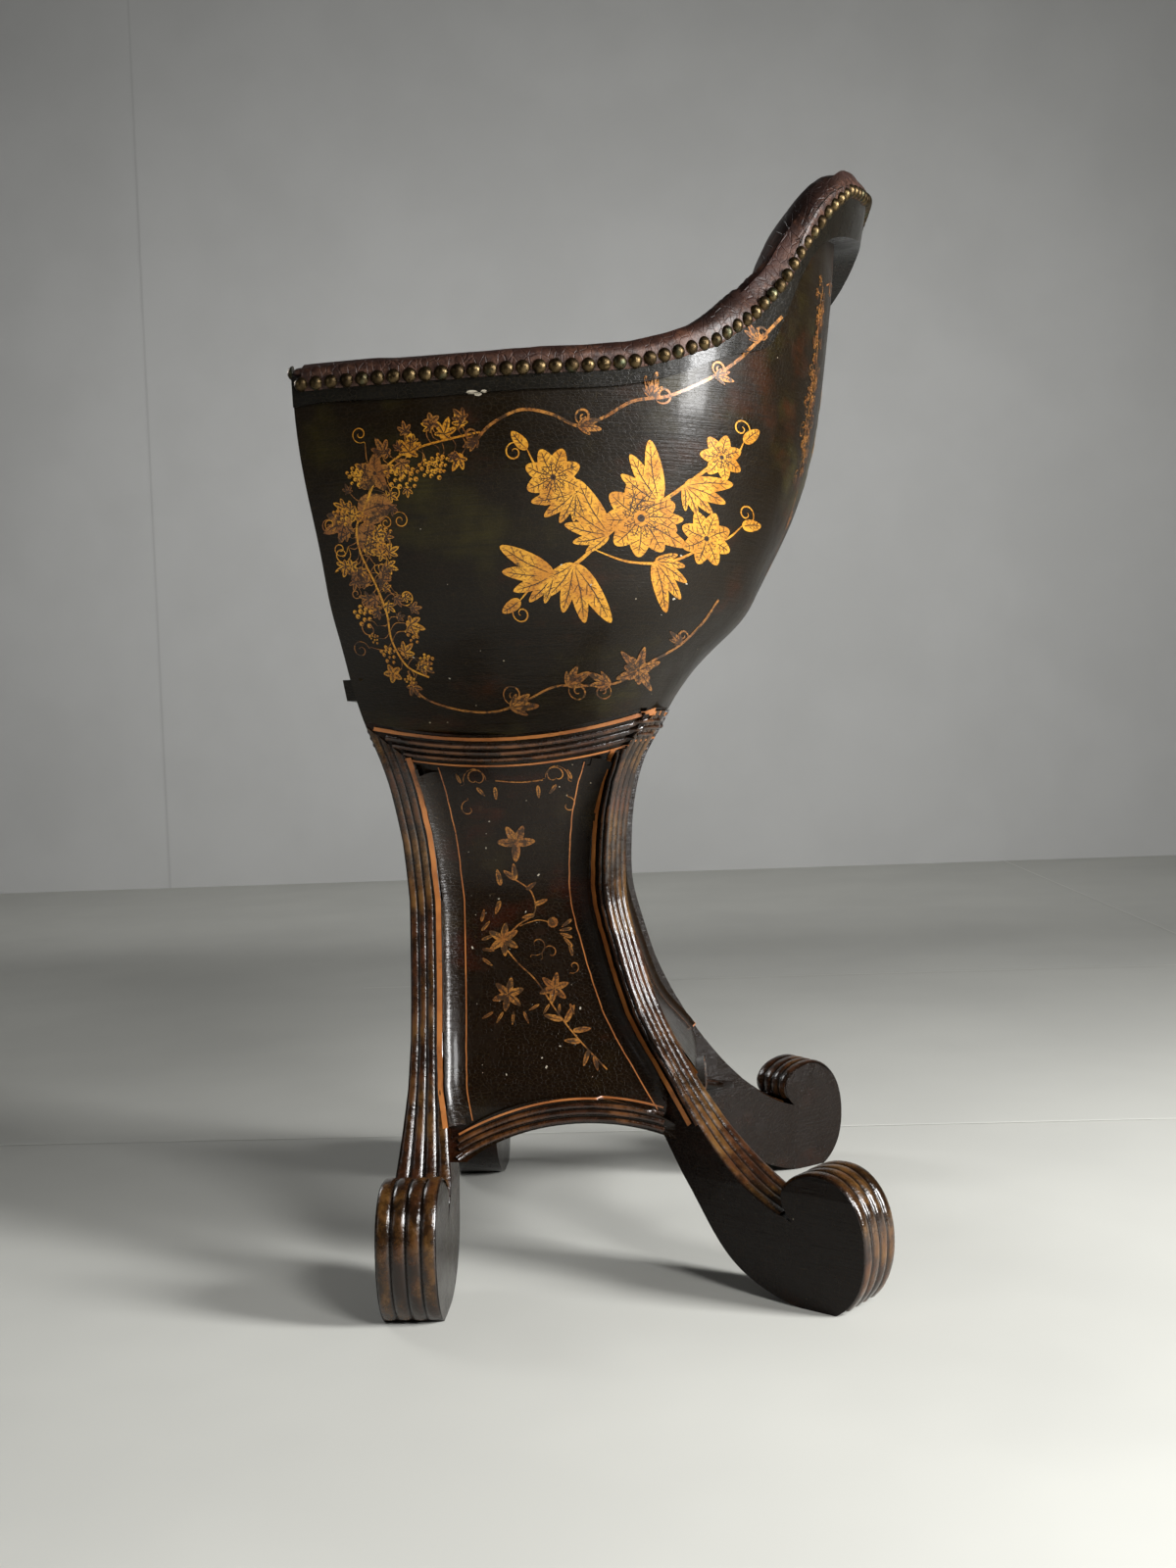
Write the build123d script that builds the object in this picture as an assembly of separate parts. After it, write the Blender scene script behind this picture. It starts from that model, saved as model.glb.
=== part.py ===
from build123d import *
import math
import os

# Gondola chair: a lacquered tub on a waisted, four-sided pedestal with four scroll feet.
# Millimetres. The front faces -Y, the sitter's left is +X, the floor is Z = 0.

# Driving dimensions of the whole chair
overall_height = 840
overall_depth = 418
arm_width = 552
overrun = 40

# Brass dome nails round the rim
nail_diameter = 10
nail_dome = 4
nail_pitch = 10.6
nail_shank = 1.6
nail_seat_gap = 0.1
nail_length = 9
rail_top = nail_diameter / 2

# The tub: a bent shell of boards, measured on its outside
arm_front = -overall_depth / 2 + nail_dome
body_depth = 380
arm_half = arm_width / 2
board = 14
stile_width = 24
side_length = 262
widest_share = 0.35
side_share = 0.3
front_taper_share = 0.045

# One row for each level of the tub: height, front edge and back as shares of the body's
# depth, half width, squareness of the rear corners, then how far the top rail stands out.
tub_level_shares = (
    (0.440, 0.060, 0.560, 0.372, 5.0, 0.0),
    (0.470, 0.050, 0.579, 0.435, 4.6, 0.0),
    (0.492, 0.042, 0.603, 0.500, 4.2, 0.0),
    (0.512, 0.037, 0.626, 0.567, 3.8, 0.0),
    (0.532, 0.034, 0.655, 0.640, 3.4, 0.0),
    (0.554, 0.033, 0.695, 0.715, 3.1, 0.0),
    (0.576, 0.032, 0.747, 0.785, 2.8, 0.0),
    (0.619, 0.026, 0.826, 0.880, 2.5, 0.1),
    (0.690, 0.013, 0.908, 0.968, 2.35, 0.1),
    (0.770, 0.000, 0.961, 1.000, 2.3, 0.1),
    (0.842, 0.000, 0.986, 1.003, 2.3, 0.2),
    (0.893, 0.000, 1.000, 1.000, 2.3, 0.45),
    (0.939, 0.000, 1.009, 0.990, 2.3, 0.85),
    (0.970, 0.000, 1.013, 0.980, 2.3, 1.0),
    (1.012, 0.000, 1.017, 0.965, 2.3, 1.05),
)
crest_overhang = 24.8
outline_steps = 6

# The rim in side view: distance behind the arm front as a share of the body's depth, and
# height of the nail line as a share of the overall height.
rim_shares = (
    (0.000, 0.7740),
    (0.250, 0.7745),
    (0.520, 0.7765),
    (0.603, 0.7800),
    (0.668, 0.7880),
    (0.740, 0.8010),
    (0.810, 0.8250),
    (0.871, 0.8570),
    (0.916, 0.8920),
    (0.961, 0.9215),
    (1.013, 0.9490),
    (1.055, 0.9605),
    (1.070, 0.9690),
    (1.081, 0.9785),
)
rail_depth_front = 14
rail_depth_crest = 30
rail_width_crest = 21
rail_growth = 110
rim_places_share = (0, 0.15, 0.30, 0.40, 0.50, 0.60, 0.70, 0.80, 0.90, 1.0)
rail_joint_share = 0.50
rail_dowel = 8
rail_dowel_length = 44
rim_dowel = 6
rim_dowel_length = 22
rim_dowel_shares = (0.06, 0.25, 0.42, 0.80)

# Leather roll on the rim and leather lining inside the tub. The roll's section has a crown
# and, on either side of it, a shoulder and a heel: share across, share of the rise.
roll_rise_front = 8.5
roll_rise_crest = 13
roll_overlap = 2
roll_gap = 0.3
crown_share = 0.42
shoulder_shares = (0.40, 0.80)
heel_shares = (0.55, 0.28)
lining = 9
soft_gap = 0.3

# Seat: rails inside the tub, webbing and a stuffed leather pad
seat_top_of_rails = 458
seat_rail_height = 24
seat_rail_width = 34
nosing_height = 15
nosing_reach = 14
cove_reach = 3
webbing_width = 50
webbing_thickness = 1.6
webbing_across = 4
webbing_along = 3
pad_height = 40
pad_side_draw = 7
pad_shoulder_share = 0.72
corner_block = 34
brace_place_share = 0.1
pad_front_gap = 3
pad_back_gap = 9
web_inset = 5
# The pad from front to back: place, width and height
pad_shares = (
    (0.00, 0.93, 0.74),
    (0.10, 0.96, 0.92),
    (0.35, 0.97, 1.00),
    (0.60, 0.93, 1.00),
    (0.80, 0.82, 0.94),
    (0.93, 0.64, 0.84),
    (1.00, 0.47, 0.70),
)

# The pedestal's boards
post_width = 25
frame_thickness = 22
panel_thickness = 9
panel_recess = 6
inner_board = 13
glue_block = 20
glue_block_length = 60
screw_diameter = 5
screw_head = 10
screw_length = 22
screw_sink = 4
board_screw_shares = ((0.75, 0.18), (0.75, 0.82), (-0.75, 0.18), (-0.75, 0.82), (0, 0.5))

# Brass pins in the stiles
pin_diameter = 3
pin_length = 9
pin_proud = 0.6
pin_place_share = 0.028
stile_pin_shares = (0.545, 0.63, 0.72)

# The joint between the tub and the pedestal dips in the middle of each side
join_height = 430
join_dip = 16
top_rail_height = 29
top_rail_dip = 11

# Legs: outer face at the waist, splay and scroll foot
waist_half = 86
waist_front = arm_front + 32
rear_leg_x = 77
rear_leg_y = -11
rear_leg_splay = 54
front_reach = 146
rear_reach = 222
front_flare = 63
rear_flare = 46
post_depth = 27
foot_width = 43
foot_flat = 28
scroll_height = 96
scroll_width = 46
throat_set_back = 11
# The scroll's outline: distance in from its nose and height, shares of its width and height
scroll_top_share = 0.62
scroll_shoulder_shares = (0.16, 0.83)
scroll_nose_share = 0.54
scroll_chin_shares = (0.13, 0.20)
scroll_toe_share = 0.52
scroll_curl_shares = (-0.17, 0.50)

# Above the waist: height as a share of the joint's height, flare of the face, depth share
leg_top_shares = (
    (1.000, 1.00, 1.0),
    (0.960, 0.74, 1.0),
    (0.919, 0.46, 1.0),
    (0.860, 0.21, 1.0),
    (0.790, 0.06, 1.0),
    (0.721, 0.00, 1.0),
)
# Below the waist: height share, splay as a share of the throat's reach, depth share
leg_foot_shares = (
    (0.663, 0.000, 1.00),
    (0.581, 0.055, 1.05),
    (0.495, 0.133, 1.10),
    (0.412, 0.248, 1.12),
    (0.302, 0.442, 1.15),
    (0.221, 0.636, 1.40),
    (0.163, 0.848, 2.00),
    (0.140, 1.000, 2.15),
)
# The front post leans forward above the waist: height share, shift in post widths
front_post_shares = (
    (1.000, -0.72),
    (0.960, -0.60),
    (0.880, -0.36),
    (0.774, -0.12),
    (0.667, 0.0),
    (0.400, 0.0),
)
# A leg's thickness: height share, thickness in post widths
leg_width_shares = (
    (1.00, 1.0),
    (0.42, 1.0),
    (0.34, 1.12),
    (0.26, 1.42),
    (0.19, foot_width / post_width),
    (0.00, foot_width / post_width),
)

# Arches between the legs
arch_height = 118
arch_spring = 72
arch_moulding = 20
arch_crown_share = 0.45
frame_inset = 3
# How far the side boards bow outwards between the posts: height share, bow
side_bow = 27
cavity_bow_share = 0.9
side_bow_shares = (
    (1.000, 1.00),
    (0.960, 0.78),
    (0.919, 0.55),
    (0.860, 0.33),
    (0.790, 0.16),
    (0.721, 0.06),
    (0.663, 0.03),
)


def level_at(height):
    """The tub's front edge, back, half width, corner squareness and rail outset there."""
    rows = tub_level_shares
    share = height / overall_height
    low, high = rows[0], rows[1]
    for first, second in zip(rows[:-1], rows[1:]):
        if share >= first[0]:
            low, high = first, second
    part = (share - low[0]) / (high[0] - low[0])
    return [a + (b - a) * part for a, b in zip(low[1:], high[1:])]


def outline_point(place, height, grow=0, rail=0):
    """A point on the right half of the outline: place runs from 0, the arm front, to 1."""
    front_share, back_share, half_share, square, outset_share = level_at(height)
    outset = grow + rail * outset_share * crest_overhang
    front = arm_front + front_share * body_depth
    back = arm_front + back_share * body_depth + outset
    half = half_share * arm_half + outset
    if place < side_share:
        part = place / side_share
        across = 1 - front_taper_share * (1 - part) ** 2
        along = widest_share * part
    else:
        angle = math.pi / 2 * (place - side_share) / (1 - side_share)
        across = max(math.cos(angle), 0) ** (2 / square)
        along = widest_share + (1 - widest_share) * math.sin(angle) ** (2 / square)
    return half * across, front + along * (back - front)


def tub_points(height, grow=0, rail=0):
    """Right half of the tub's outline at one height, from the arm front to the back."""
    places = [0, side_share / 2]
    places += [side_share + (1 - side_share) * step / outline_steps for step in range(outline_steps + 1)]
    points = [outline_point(place, height, grow, rail) for place in places]
    points[-1] = (0, points[-1][1])
    return points


def tub_wire(height, grow=0, rail=0, open_front=False):
    """The closed outline of the tub at one height."""
    half = tub_points(height, grow, rail)
    line = [Vector(x, y, height) for x, y in half]
    line += [Vector(-x, y, height) for x, y in reversed(half[:-1])]
    edges = [Spline(*line)]
    if open_front:
        reach = Vector(0, -overrun, 0)
        edges += Polyline(line[-1], line[-1] + reach, line[0] + reach, line[0]).edges()
    else:
        edges.append(Line(line[-1], line[0]))
    return Wire(edges)


def tub_solid(grow=0, rail=0, open_front=False, from_row=0):
    """The whole tub as a solid, grown outward by a distance or by the rail's outset."""
    heights = [row[0] * overall_height for row in tub_level_shares[from_row:]]
    return Solid.make_loft([tub_wire(z, grow, rail, open_front) for z in heights])


def rim_height(y):
    """Height of the nail line at a distance from front to back."""
    share = (y - arm_front) / body_depth
    for a, b in zip(rim_shares[:-1], rim_shares[1:]):
        if share <= b[0]:
            return overall_height * (a[1] + (b[1] - a[1]) * (share - a[0]) / (b[0] - a[0]))
    return overall_height * rim_shares[-1][1]


def rim_spot(place):
    """A point of the nail line, on the outer face of the rail."""
    height = overall_height * rim_shares[0][1]
    for _ in range(8):
        x, y = outline_point(place, height, 0, 1)
        height = rim_height(y)
    return Vector(x, y, height)


def outward(place):
    """The level direction that leads straight out of the rim at one place."""
    step = 0.01
    a = rim_spot(max(place - step, 0))
    b = rim_spot(min(place + step, 1))
    way = Vector(b.Y - a.Y, a.X - b.X, 0)
    return way.normalized() if place < 1 else Vector(0, 1, 0)


def growth(height):
    """How far the rail and the roll have grown from their size on the arms, 0 to 1."""
    share = (height - overall_height * rim_shares[0][1]) / rail_growth
    share = min(max(share, 0), 1)
    return share * share * (3 - 2 * share)


def rail_corners(place):
    """The rail's corners in the upright plane square to the rim, outer top first."""
    spot, out = rim_spot(place), outward(place)
    share = growth(spot.Z)
    foot = spot.Z - rail_depth_front - (rail_depth_crest - rail_depth_front) * share
    corners = []
    for height, rail, inset in ((spot.Z + rail_top, 1, 0), (foot, 1, 0), (foot, 0, board)):
        x, y = outline_point(place, height, 0, rail)
        reach = (Vector(x, y, 0) - Vector(spot.X, spot.Y, 0)).dot(out) - inset
        corners.append(Vector(spot.X, spot.Y, height) + out * reach)
    width = board + (rail_width_crest - board) * share
    width = max(width, (corners[1] - corners[2]).length)
    corners.append(corners[0] - out * width)
    return corners, out


def round_the_rim(section):
    """A solid lofted through sections of the rim, from the right arm to the left one."""
    right = [section(place) for place in rim_places_share]
    out = outward(0)
    ahead = Vector(out.Y, -out.X, 0) * stile_width
    right.insert(0, [corner + ahead for corner in right[0]])
    left = [[Vector(-v.X, v.Y, v.Z) for v in corners] for corners in reversed(right[:-1])]
    wires = [Wire(Polyline(*corners, corners[0]).edges()) for corners in right + left]
    return Solid.make_loft(wires)


def above_rail_foot(place):
    """A tall slice that clears everything above the rail's foot."""
    (_, outer, inner, _), out = rail_corners(place)
    outer = outer + out * overrun
    inner = inner - out * (overrun + board)
    high = Vector(0, 0, overall_height / 2)
    return [outer, inner, inner + high, outer + high]


def below_join(dip, bottom, top=join_height, along="Y"):
    """Everything under an arc that dips in the middle, right across the chair."""
    front, back = -overall_depth, overall_depth
    middle = (waist_front + rear_leg_y) / 2
    span = (rear_leg_y - waist_front) / 2 + post_width
    if along == "X":
        front, back, middle = -arm_half, arm_half, 0
        span = waist_half + post_width
    points = [(front, top), (middle - span, top), (middle, top - dip), (middle + span, top)]
    points += [(back, top), (back, bottom), (front, bottom)]
    turn = [Vector(0, a, b) if along == "Y" else Vector(a, 0, b) for a, b in points]
    arc = ThreePointArc(turn[1], turn[2], turn[3])
    rest = Polyline(*turn[3:], turn[0], turn[1])
    face = Face(Wire([arc] + rest.edges()))
    way = (1, 0, 0) if along == "Y" else (0, 1, 0)
    return extrude(face, arm_half + overrun, dir=way, both=True)


def slab(low, high, front=-overall_depth, back=overall_depth, left=-arm_width, right=arm_width):
    """A box between two heights, wide enough to cut the chair with."""
    size = Vector(right - left, back - front, high - low)
    middle = Vector((right + left) / 2, (back + front) / 2, (high + low) / 2)
    return Pos(middle) * Box(size.X, size.Y, size.Z)


def write(name, shape):
    """One sub-part, as one STEP file."""
    export_step(shape, f"parts/{name}.step")


os.makedirs("parts", exist_ok=True)

# Tub boards, stiles and the rail that caps them
inside_gap = board + soft_gap
outside = tub_solid()
hollow = tub_solid(-board, 0, True)
rim_cut = round_the_rim(above_rail_foot)
join_cut = below_join(join_dip, 0)
shell = ((outside - rim_cut) - join_cut) - hollow


def behind_front(width):
    """Everything further back than a strip along the tub's front edge."""
    line = [Vector(0, arm_front + row[1] * body_depth + width, row[0] * overall_height)
            for row in tub_level_shares]
    far = overall_depth
    corners = [Vector(0, far, line[-1].Z), Vector(0, far, line[0].Z)]
    face = Face(Polyline(*line, *corners, line[0]))
    return extrude(face, arm_half + overrun, dir=(1, 0, 0), both=True)


def halves(shape):
    """The left (+X) and right (-X) halves of a shape."""
    left = slab(0, overall_height + overrun, left=0)
    right = slab(0, overall_height + overrun, right=0)
    return {"left": shape & left, "right": shape & right}


back_joint = arm_front + side_length
deep = behind_front(stile_width)
side_zone = slab(0, overall_height, back=back_joint)
back_zone = slab(0, overall_height, front=back_joint)
stiles = halves(shell - deep)
sides = halves((shell & deep) & side_zone)
tub_back = shell & back_zone

chair_zone = slab(0, overall_height + overrun, front=arm_front)
cap = round_the_rim(lambda place: rail_corners(place)[0]) & chair_zone
rail_joint = rim_spot(rail_joint_share).Y
arm_rails = halves(cap & slab(0, overall_height + overrun, back=rail_joint))
crest_rail = cap & slab(0, overall_height + overrun, front=rail_joint)


# Dowels: one along each joint of the rail, and upright ones from the rail to the boards
def rod(start, end, diameter):
    """A round rod between two points."""
    way = end - start
    plane = Plane(origin=start, z_dir=way)
    return plane * Cylinder(diameter / 2, way.length, align=(Align.CENTER, Align.CENTER, Align.MIN))


def mirrored(shape):
    """The same piece on the sitter's right."""
    return mirror(shape, Plane.YZ)


def rail_middle(place):
    """The middle of the rail's section at one place."""
    corners, _ = rail_corners(place)
    return (corners[0] + corners[1] + corners[2] + corners[3]) / 4


along_rail = (rail_middle(rail_joint_share + 0.02) - rail_middle(rail_joint_share - 0.02)).normalized()
half_dowel = along_rail * (rail_dowel_length / 2)
joint_middle = rail_middle(rail_joint_share)
rail_dowel_left = rod(joint_middle - half_dowel, joint_middle + half_dowel, rail_dowel)
rail_dowels = Compound([rail_dowel_left, mirrored(rail_dowel_left)])
upright_dowels = []
for place in rim_dowel_shares:
    (top, outer, inner, inner_top), out = rail_corners(place)
    middle = inner + out * (board / 2)
    high = middle + Vector(0, 0, rim_dowel_length / 2)
    pin = rod(middle - Vector(0, 0, rim_dowel_length / 2), high, rim_dowel)
    upright_dowels += [pin, mirrored(pin)]

# Nails: a domed head on a thin shank, walked along the rim at an even pitch
dome_radius = (nail_diameter ** 2 / 4 + nail_dome ** 2) / (2 * nail_dome)
half_turn = math.asin(nail_diameter / 2 / dome_radius) / 2
head = ThreePointArc(
    Vector(nail_diameter / 2, 0, 0),
    Vector(dome_radius * math.sin(half_turn), 0, nail_dome - dome_radius * (1 - math.cos(half_turn))),
    Vector(0, 0, nail_dome))
shank = Polyline(Vector(0, 0, nail_dome), Vector(0, 0, -nail_length), Vector(nail_shank / 2, 0, -nail_length),
                 Vector(nail_shank / 2, 0, 0), Vector(nail_diameter / 2, 0, 0))
nail = revolve(Face(Wire([head] + shank.edges())), Axis.Z)


def nail_at(place):
    """A nail driven square into the rail's outer face."""
    (top, foot, _, _), out = rail_corners(place)
    down = (foot - top).normalized()
    square = (out * -down.Z + Vector(0, 0, down.dot(out))).normalized()
    seat = top + down * (rail_top / -down.Z) + square * nail_seat_gap
    return Plane(origin=seat, z_dir=square) * nail


def walk(start, pitch):
    """Places along the rim that lie an even pitch apart, up to the middle of the crest."""
    steps = 400
    places = [start + (1 - start) * step / steps for step in range(steps + 1)]
    spots = [rim_spot(place) for place in places]
    run = [0]
    for p, q in zip(spots[:-1], spots[1:]):
        run.append(run[-1] + (q - p).length)
    count = round(run[-1] / pitch - 0.5)
    even = run[-1] / (count + 0.5)
    found = []
    for here in range(count + 1):
        far = here * even
        step = next(i for i in range(1, steps + 1) if run[i] >= far)
        part = (far - run[step - 1]) / (run[step] - run[step - 1])
        found.append(places[step - 1] + (places[step] - places[step - 1]) * part)
    return found


first_nail = side_share * (nail_diameter * 0.7) / (widest_share * body_depth)
nails_left = [nail_at(place) for place in walk(first_nail, nail_pitch)]
nails_right = [mirrored(each) for each in nails_left]
arm_nail_spot = rim_spot(0) + Vector(-board / 2, 0, rail_top + roll_rise_front / 2)
arm_nail = Plane(origin=Vector(arm_nail_spot.X, arm_front, arm_nail_spot.Z), z_dir=(0, -1, 0)) * nail
arm_nails = [arm_nail, mirrored(arm_nail)]


# Roll: a stuffed leather bead over the rail, which thickens towards the crest
def roll_wire(place, side=1):
    """The roll's section: two arcs over the rail and straight lines against its wood."""
    (top, foot, inner_foot, inner_top), out = rail_corners(place)
    share = growth(top.Z)
    rise = roll_rise_front + (roll_rise_crest - roll_rise_front) * share
    lift = Vector(0, 0, roll_gap)
    lip = top + out * roll_overlap + lift
    skirt = inner_foot - out * (lining + soft_gap) + lift
    tuck = inner_foot - out * soft_gap + lift
    inner = inner_top - out * soft_gap + lift
    width = (lip - skirt).dot(out)
    crown = lip - out * (width * crown_share)
    crown.Z = top.Z + rise
    shoulder = lip + (crown - lip) * shoulder_shares[0]
    shoulder.Z = lip.Z + (crown.Z - lip.Z) * shoulder_shares[1]
    heel = crown + (skirt - crown) * heel_shares[0]
    heel.Z = crown.Z + (skirt.Z - crown.Z) * heel_shares[1]
    turn = [Vector(side * v.X, v.Y, v.Z) for v in (lip, shoulder, crown, heel, skirt, tuck, inner)]
    rest = Polyline(turn[4], turn[5], turn[6], turn[0])
    return Wire([ThreePointArc(*turn[:3]), ThreePointArc(*turn[2:5])] + rest.edges())


roll_wires = [roll_wire(place) for place in rim_places_share]
roll_wires += [roll_wire(place, -1) for place in reversed(rim_places_share[:-1])]
ahead = Vector(outward(0).Y, -outward(0).X, 0) * nail_length
roll_wires.insert(0, roll_wires[0].moved(Location(ahead)))
roll_wires.append(roll_wires[-1].moved(Location(Vector(-ahead.X, ahead.Y, 0))))
rim_roll = Solid.make_loft(roll_wires) & chair_zone

# Lining: leather over padding, tight against the inside of the boards
lining_foot = seat_top_of_rails + webbing_thickness * 2 + soft_gap
lining_zone = slab(lining_foot, overall_height)
inside_lining = (tub_solid(-inside_gap) - rim_cut) & lining_zone
inside_lining = inside_lining - tub_solid(-board - lining, 0, True)

# Seat rails, webbing and pad
seat_low = seat_top_of_rails - seat_rail_height
seat_space = tub_solid(-inside_gap)
rail_zone = slab(seat_low, seat_top_of_rails)
ring = (seat_space & rail_zone) - tub_solid(-inside_gap - seat_rail_width, 0, True)
front_rail_back = arm_front + stile_width + seat_rail_width
ring = ring & slab(0, overall_height, front=front_rail_back)
seat_back = level_at(seat_low)[1] * body_depth + arm_front - board - seat_rail_width
side_rails = halves(ring & slab(0, overall_height, back=seat_back))
seat_rail_back = ring & slab(0, overall_height, front=seat_back)


def bowed(low, high, reach):
    """A board across the front with a bowed front face."""
    edge = arm_front + level_at(low)[0] * body_depth
    right, tip, left = [Vector(x, edge - out, low)
                        for x, out in ((arm_half, 0), (0, reach), (-arm_half, 0))]
    behind = [Vector(x, front_rail_back, low) for x in (-arm_half, arm_half)]
    face = Face(Wire([ThreePointArc(right, tip, left)] + Polyline(left, *behind, right).edges()))
    return extrude(face, high - low, dir=(0, 0, 1))


nosing_low = seat_top_of_rails - nosing_height
open_space = tub_solid(-inside_gap, 0, True)
seat_rail_front = bowed(join_height, nosing_low, cove_reach)
seat_rail_front += bowed(nosing_low, seat_top_of_rails, nosing_reach)
seat_rail_front = seat_rail_front & open_space

pad_floor = seat_top_of_rails + webbing_thickness * 2 + soft_gap


def pad_section(share, wide, tall):
    """One upright outline of the pad: a level foot, two bowed sides and a crown."""
    floor_row = level_at(pad_floor)
    front = arm_front + floor_row[0] * body_depth + pad_front_gap
    back = arm_front + floor_row[1] * body_depth - board - lining - pad_back_gap
    y = front + share * (back - front)
    half = (floor_row[2] * arm_half - board - lining - soft_gap) * wide
    top = pad_floor + pad_height * tall
    shoulder = pad_floor + pad_height * tall * pad_shoulder_share
    draw = pad_side_draw
    foot = half - draw
    points = [Vector(foot, y, pad_floor), Vector(half, y, (pad_floor + shoulder) / 2),
              Vector(half - draw / 2, y, shoulder), Vector(0, y, top)]
    flip = [Vector(-v.X, v.Y, v.Z) for v in points]
    return Wire([ThreePointArc(*points[:3]), ThreePointArc(points[2], points[3], flip[2]),
                 ThreePointArc(flip[2], flip[1], flip[0]), Line(flip[0], points[0])])


seat_pad = Solid.make_loft([pad_section(*row) for row in pad_shares])

web_zone = tub_solid(-inside_gap - web_inset)
webs = []
web_front = arm_front + level_at(seat_top_of_rails)[0] * body_depth + web_inset
web_back = arm_front + level_at(seat_top_of_rails)[1] * body_depth - board - web_inset
low = seat_top_of_rails
for lane in range(webbing_across):
    middle = web_front + (web_back - web_front) * (lane + 0.5) / webbing_across
    half = webbing_width / 2
    strip = slab(low, low + webbing_thickness, middle - half, middle + half)
    webs.append(strip & web_zone)
low += webbing_thickness
for lane in range(webbing_along):
    middle = (lane - (webbing_along - 1) / 2) * webbing_width * 1.9
    strip = slab(low, low + webbing_thickness, web_front, web_back, middle - half, middle + half)
    webs.append(strip & web_zone)

# Legs: sawn to one outline, splayed outwards and ended in a scroll
def leg_face(reach, flare):
    """The outer face of a leg, from the joint down to the throat: reach, height, depth."""
    throat = reach - scroll_width - throat_set_back
    face = [(flare * splay, share * join_height, depth) for share, splay, depth in leg_top_shares]
    face += [(throat * splay, share * join_height, depth) for share, splay, depth in leg_foot_shares]
    return face


def reach_at(face, height):
    """How far the leg's face stands out at one height."""
    for a, b in zip(face[:-1], face[1:]):
        if height >= b[1]:
            return b[0] + (a[0] - b[0]) * (height - b[1]) / (a[1] - b[1])
    return face[-1][0]


def leg_outline(reach, flare):
    """The leg's side outline, in the plane of its splay."""
    face = leg_face(reach, flare)
    inner = []
    for here, (out, up, depth) in enumerate(face):
        above, under = face[max(here - 1, 0)], face[min(here + 1, len(face) - 1)]
        run, fall = under[0] - above[0], under[1] - above[1]
        length = math.hypot(run, fall)
        move = depth * post_depth / length
        inner.append(Vector(out + fall * move, 0, up - run * move))
    inner[0] = Vector(face[0][0] - post_depth, 0, join_height)
    outer = [Vector(out, 0, up) for out, up, _ in face]
    throat = outer[-1]

    def spot(inward, up):
        return Vector(reach - scroll_width * inward, 0, scroll_height * up)

    curl_out, curl_up = scroll_curl_shares
    curl = throat + Vector(scroll_width * curl_out, 0, scroll_width * curl_up)
    toe = spot(scroll_toe_share, 0)
    heel = Vector(toe.X - foot_flat, 0, 0)
    scroll = Spline(throat, curl, spot(scroll_top_share, 1), spot(*scroll_shoulder_shares),
                    spot(0, scroll_nose_share), spot(*scroll_chin_shares), toe)
    sole = Line(toe, heel)
    belly = Spline(heel, *reversed(inner))
    cap_line = Line(inner[0], outer[0])
    return Face(Wire([Spline(*outer), scroll, sole, belly, cap_line]))


def taper(centre_shares):
    """The leg seen along its splay: slim at the waist, wide at the foot."""
    low_side, high_side = [], []
    rows = sorted({share for share, _ in leg_width_shares + centre_shares}, reverse=True)
    for share in rows:
        half = post_width / 2 * interpolate(leg_width_shares, share)
        shift = post_width * interpolate(centre_shares, share) if centre_shares else 0
        low_side.append(Vector(0, shift - half, share * join_height))
        high_side.append(Vector(0, shift + half, share * join_height))
    face = Face(Polyline(*low_side, *reversed(high_side), low_side[0]))
    return extrude(face, rear_reach * 2, dir=(1, 0, 0), both=True)


def interpolate(rows, share):
    """Straight-line reading of a falling table of two columns."""
    for a, b in zip(rows[:-1], rows[1:]):
        if share >= b[0]:
            return b[1] + (a[1] - b[1]) * (share - b[0]) / (a[0] - b[0])
    return rows[-1][1]


def plank(reach, flare):
    """A leg sawn out but not yet tapered, its face at the waist on the Z axis."""
    return extrude(leg_outline(reach, flare), foot_width, dir=(0, 1, 0), both=True)


front_post_y = waist_front + post_width / 2
front_plank = Pos(waist_half, front_post_y, 0) * plank(front_reach, front_flare)
front_leg = front_plank & (Pos(waist_half, front_post_y, 0) * taper(front_post_shares))
rear_place = Pos(rear_leg_x, rear_leg_y, 0) * Rot(0, 0, rear_leg_splay)
rear_leg = rear_place * (plank(rear_reach, rear_flare) & taper(()))
under_join = below_join(join_dip, -overrun)
legs = {
    "leg_front_left": front_leg & under_join,
    "leg_rear_left": rear_leg & under_join,
}
legs["leg_front_right"] = mirrored(legs["leg_front_left"])
legs["leg_rear_right"] = mirrored(legs["leg_rear_left"])

# The four sides of the pedestal, each a frame of two rails and a sunk panel between legs
front_face = leg_face(front_reach, front_flare)
rear_face = leg_face(rear_reach, rear_flare)
splay = Vector(math.cos(math.radians(rear_leg_splay)), math.sin(math.radians(rear_leg_splay)), 0)
side_way = Vector(splay.Y, -splay.X, 0)


def post_corners(height):
    """The outer corner of the front post and the two outer corners of the rear post."""
    share = height / join_height
    front_x = waist_half + reach_at(front_face, height)
    front_y = front_post_y + post_width * interpolate(front_post_shares, share) - post_width / 2
    middle = Vector(rear_leg_x, rear_leg_y, 0) + splay * reach_at(rear_face, height)
    half = side_way * (post_width / 2)
    return Vector(front_x, front_y, height), middle + half, middle - half


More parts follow.
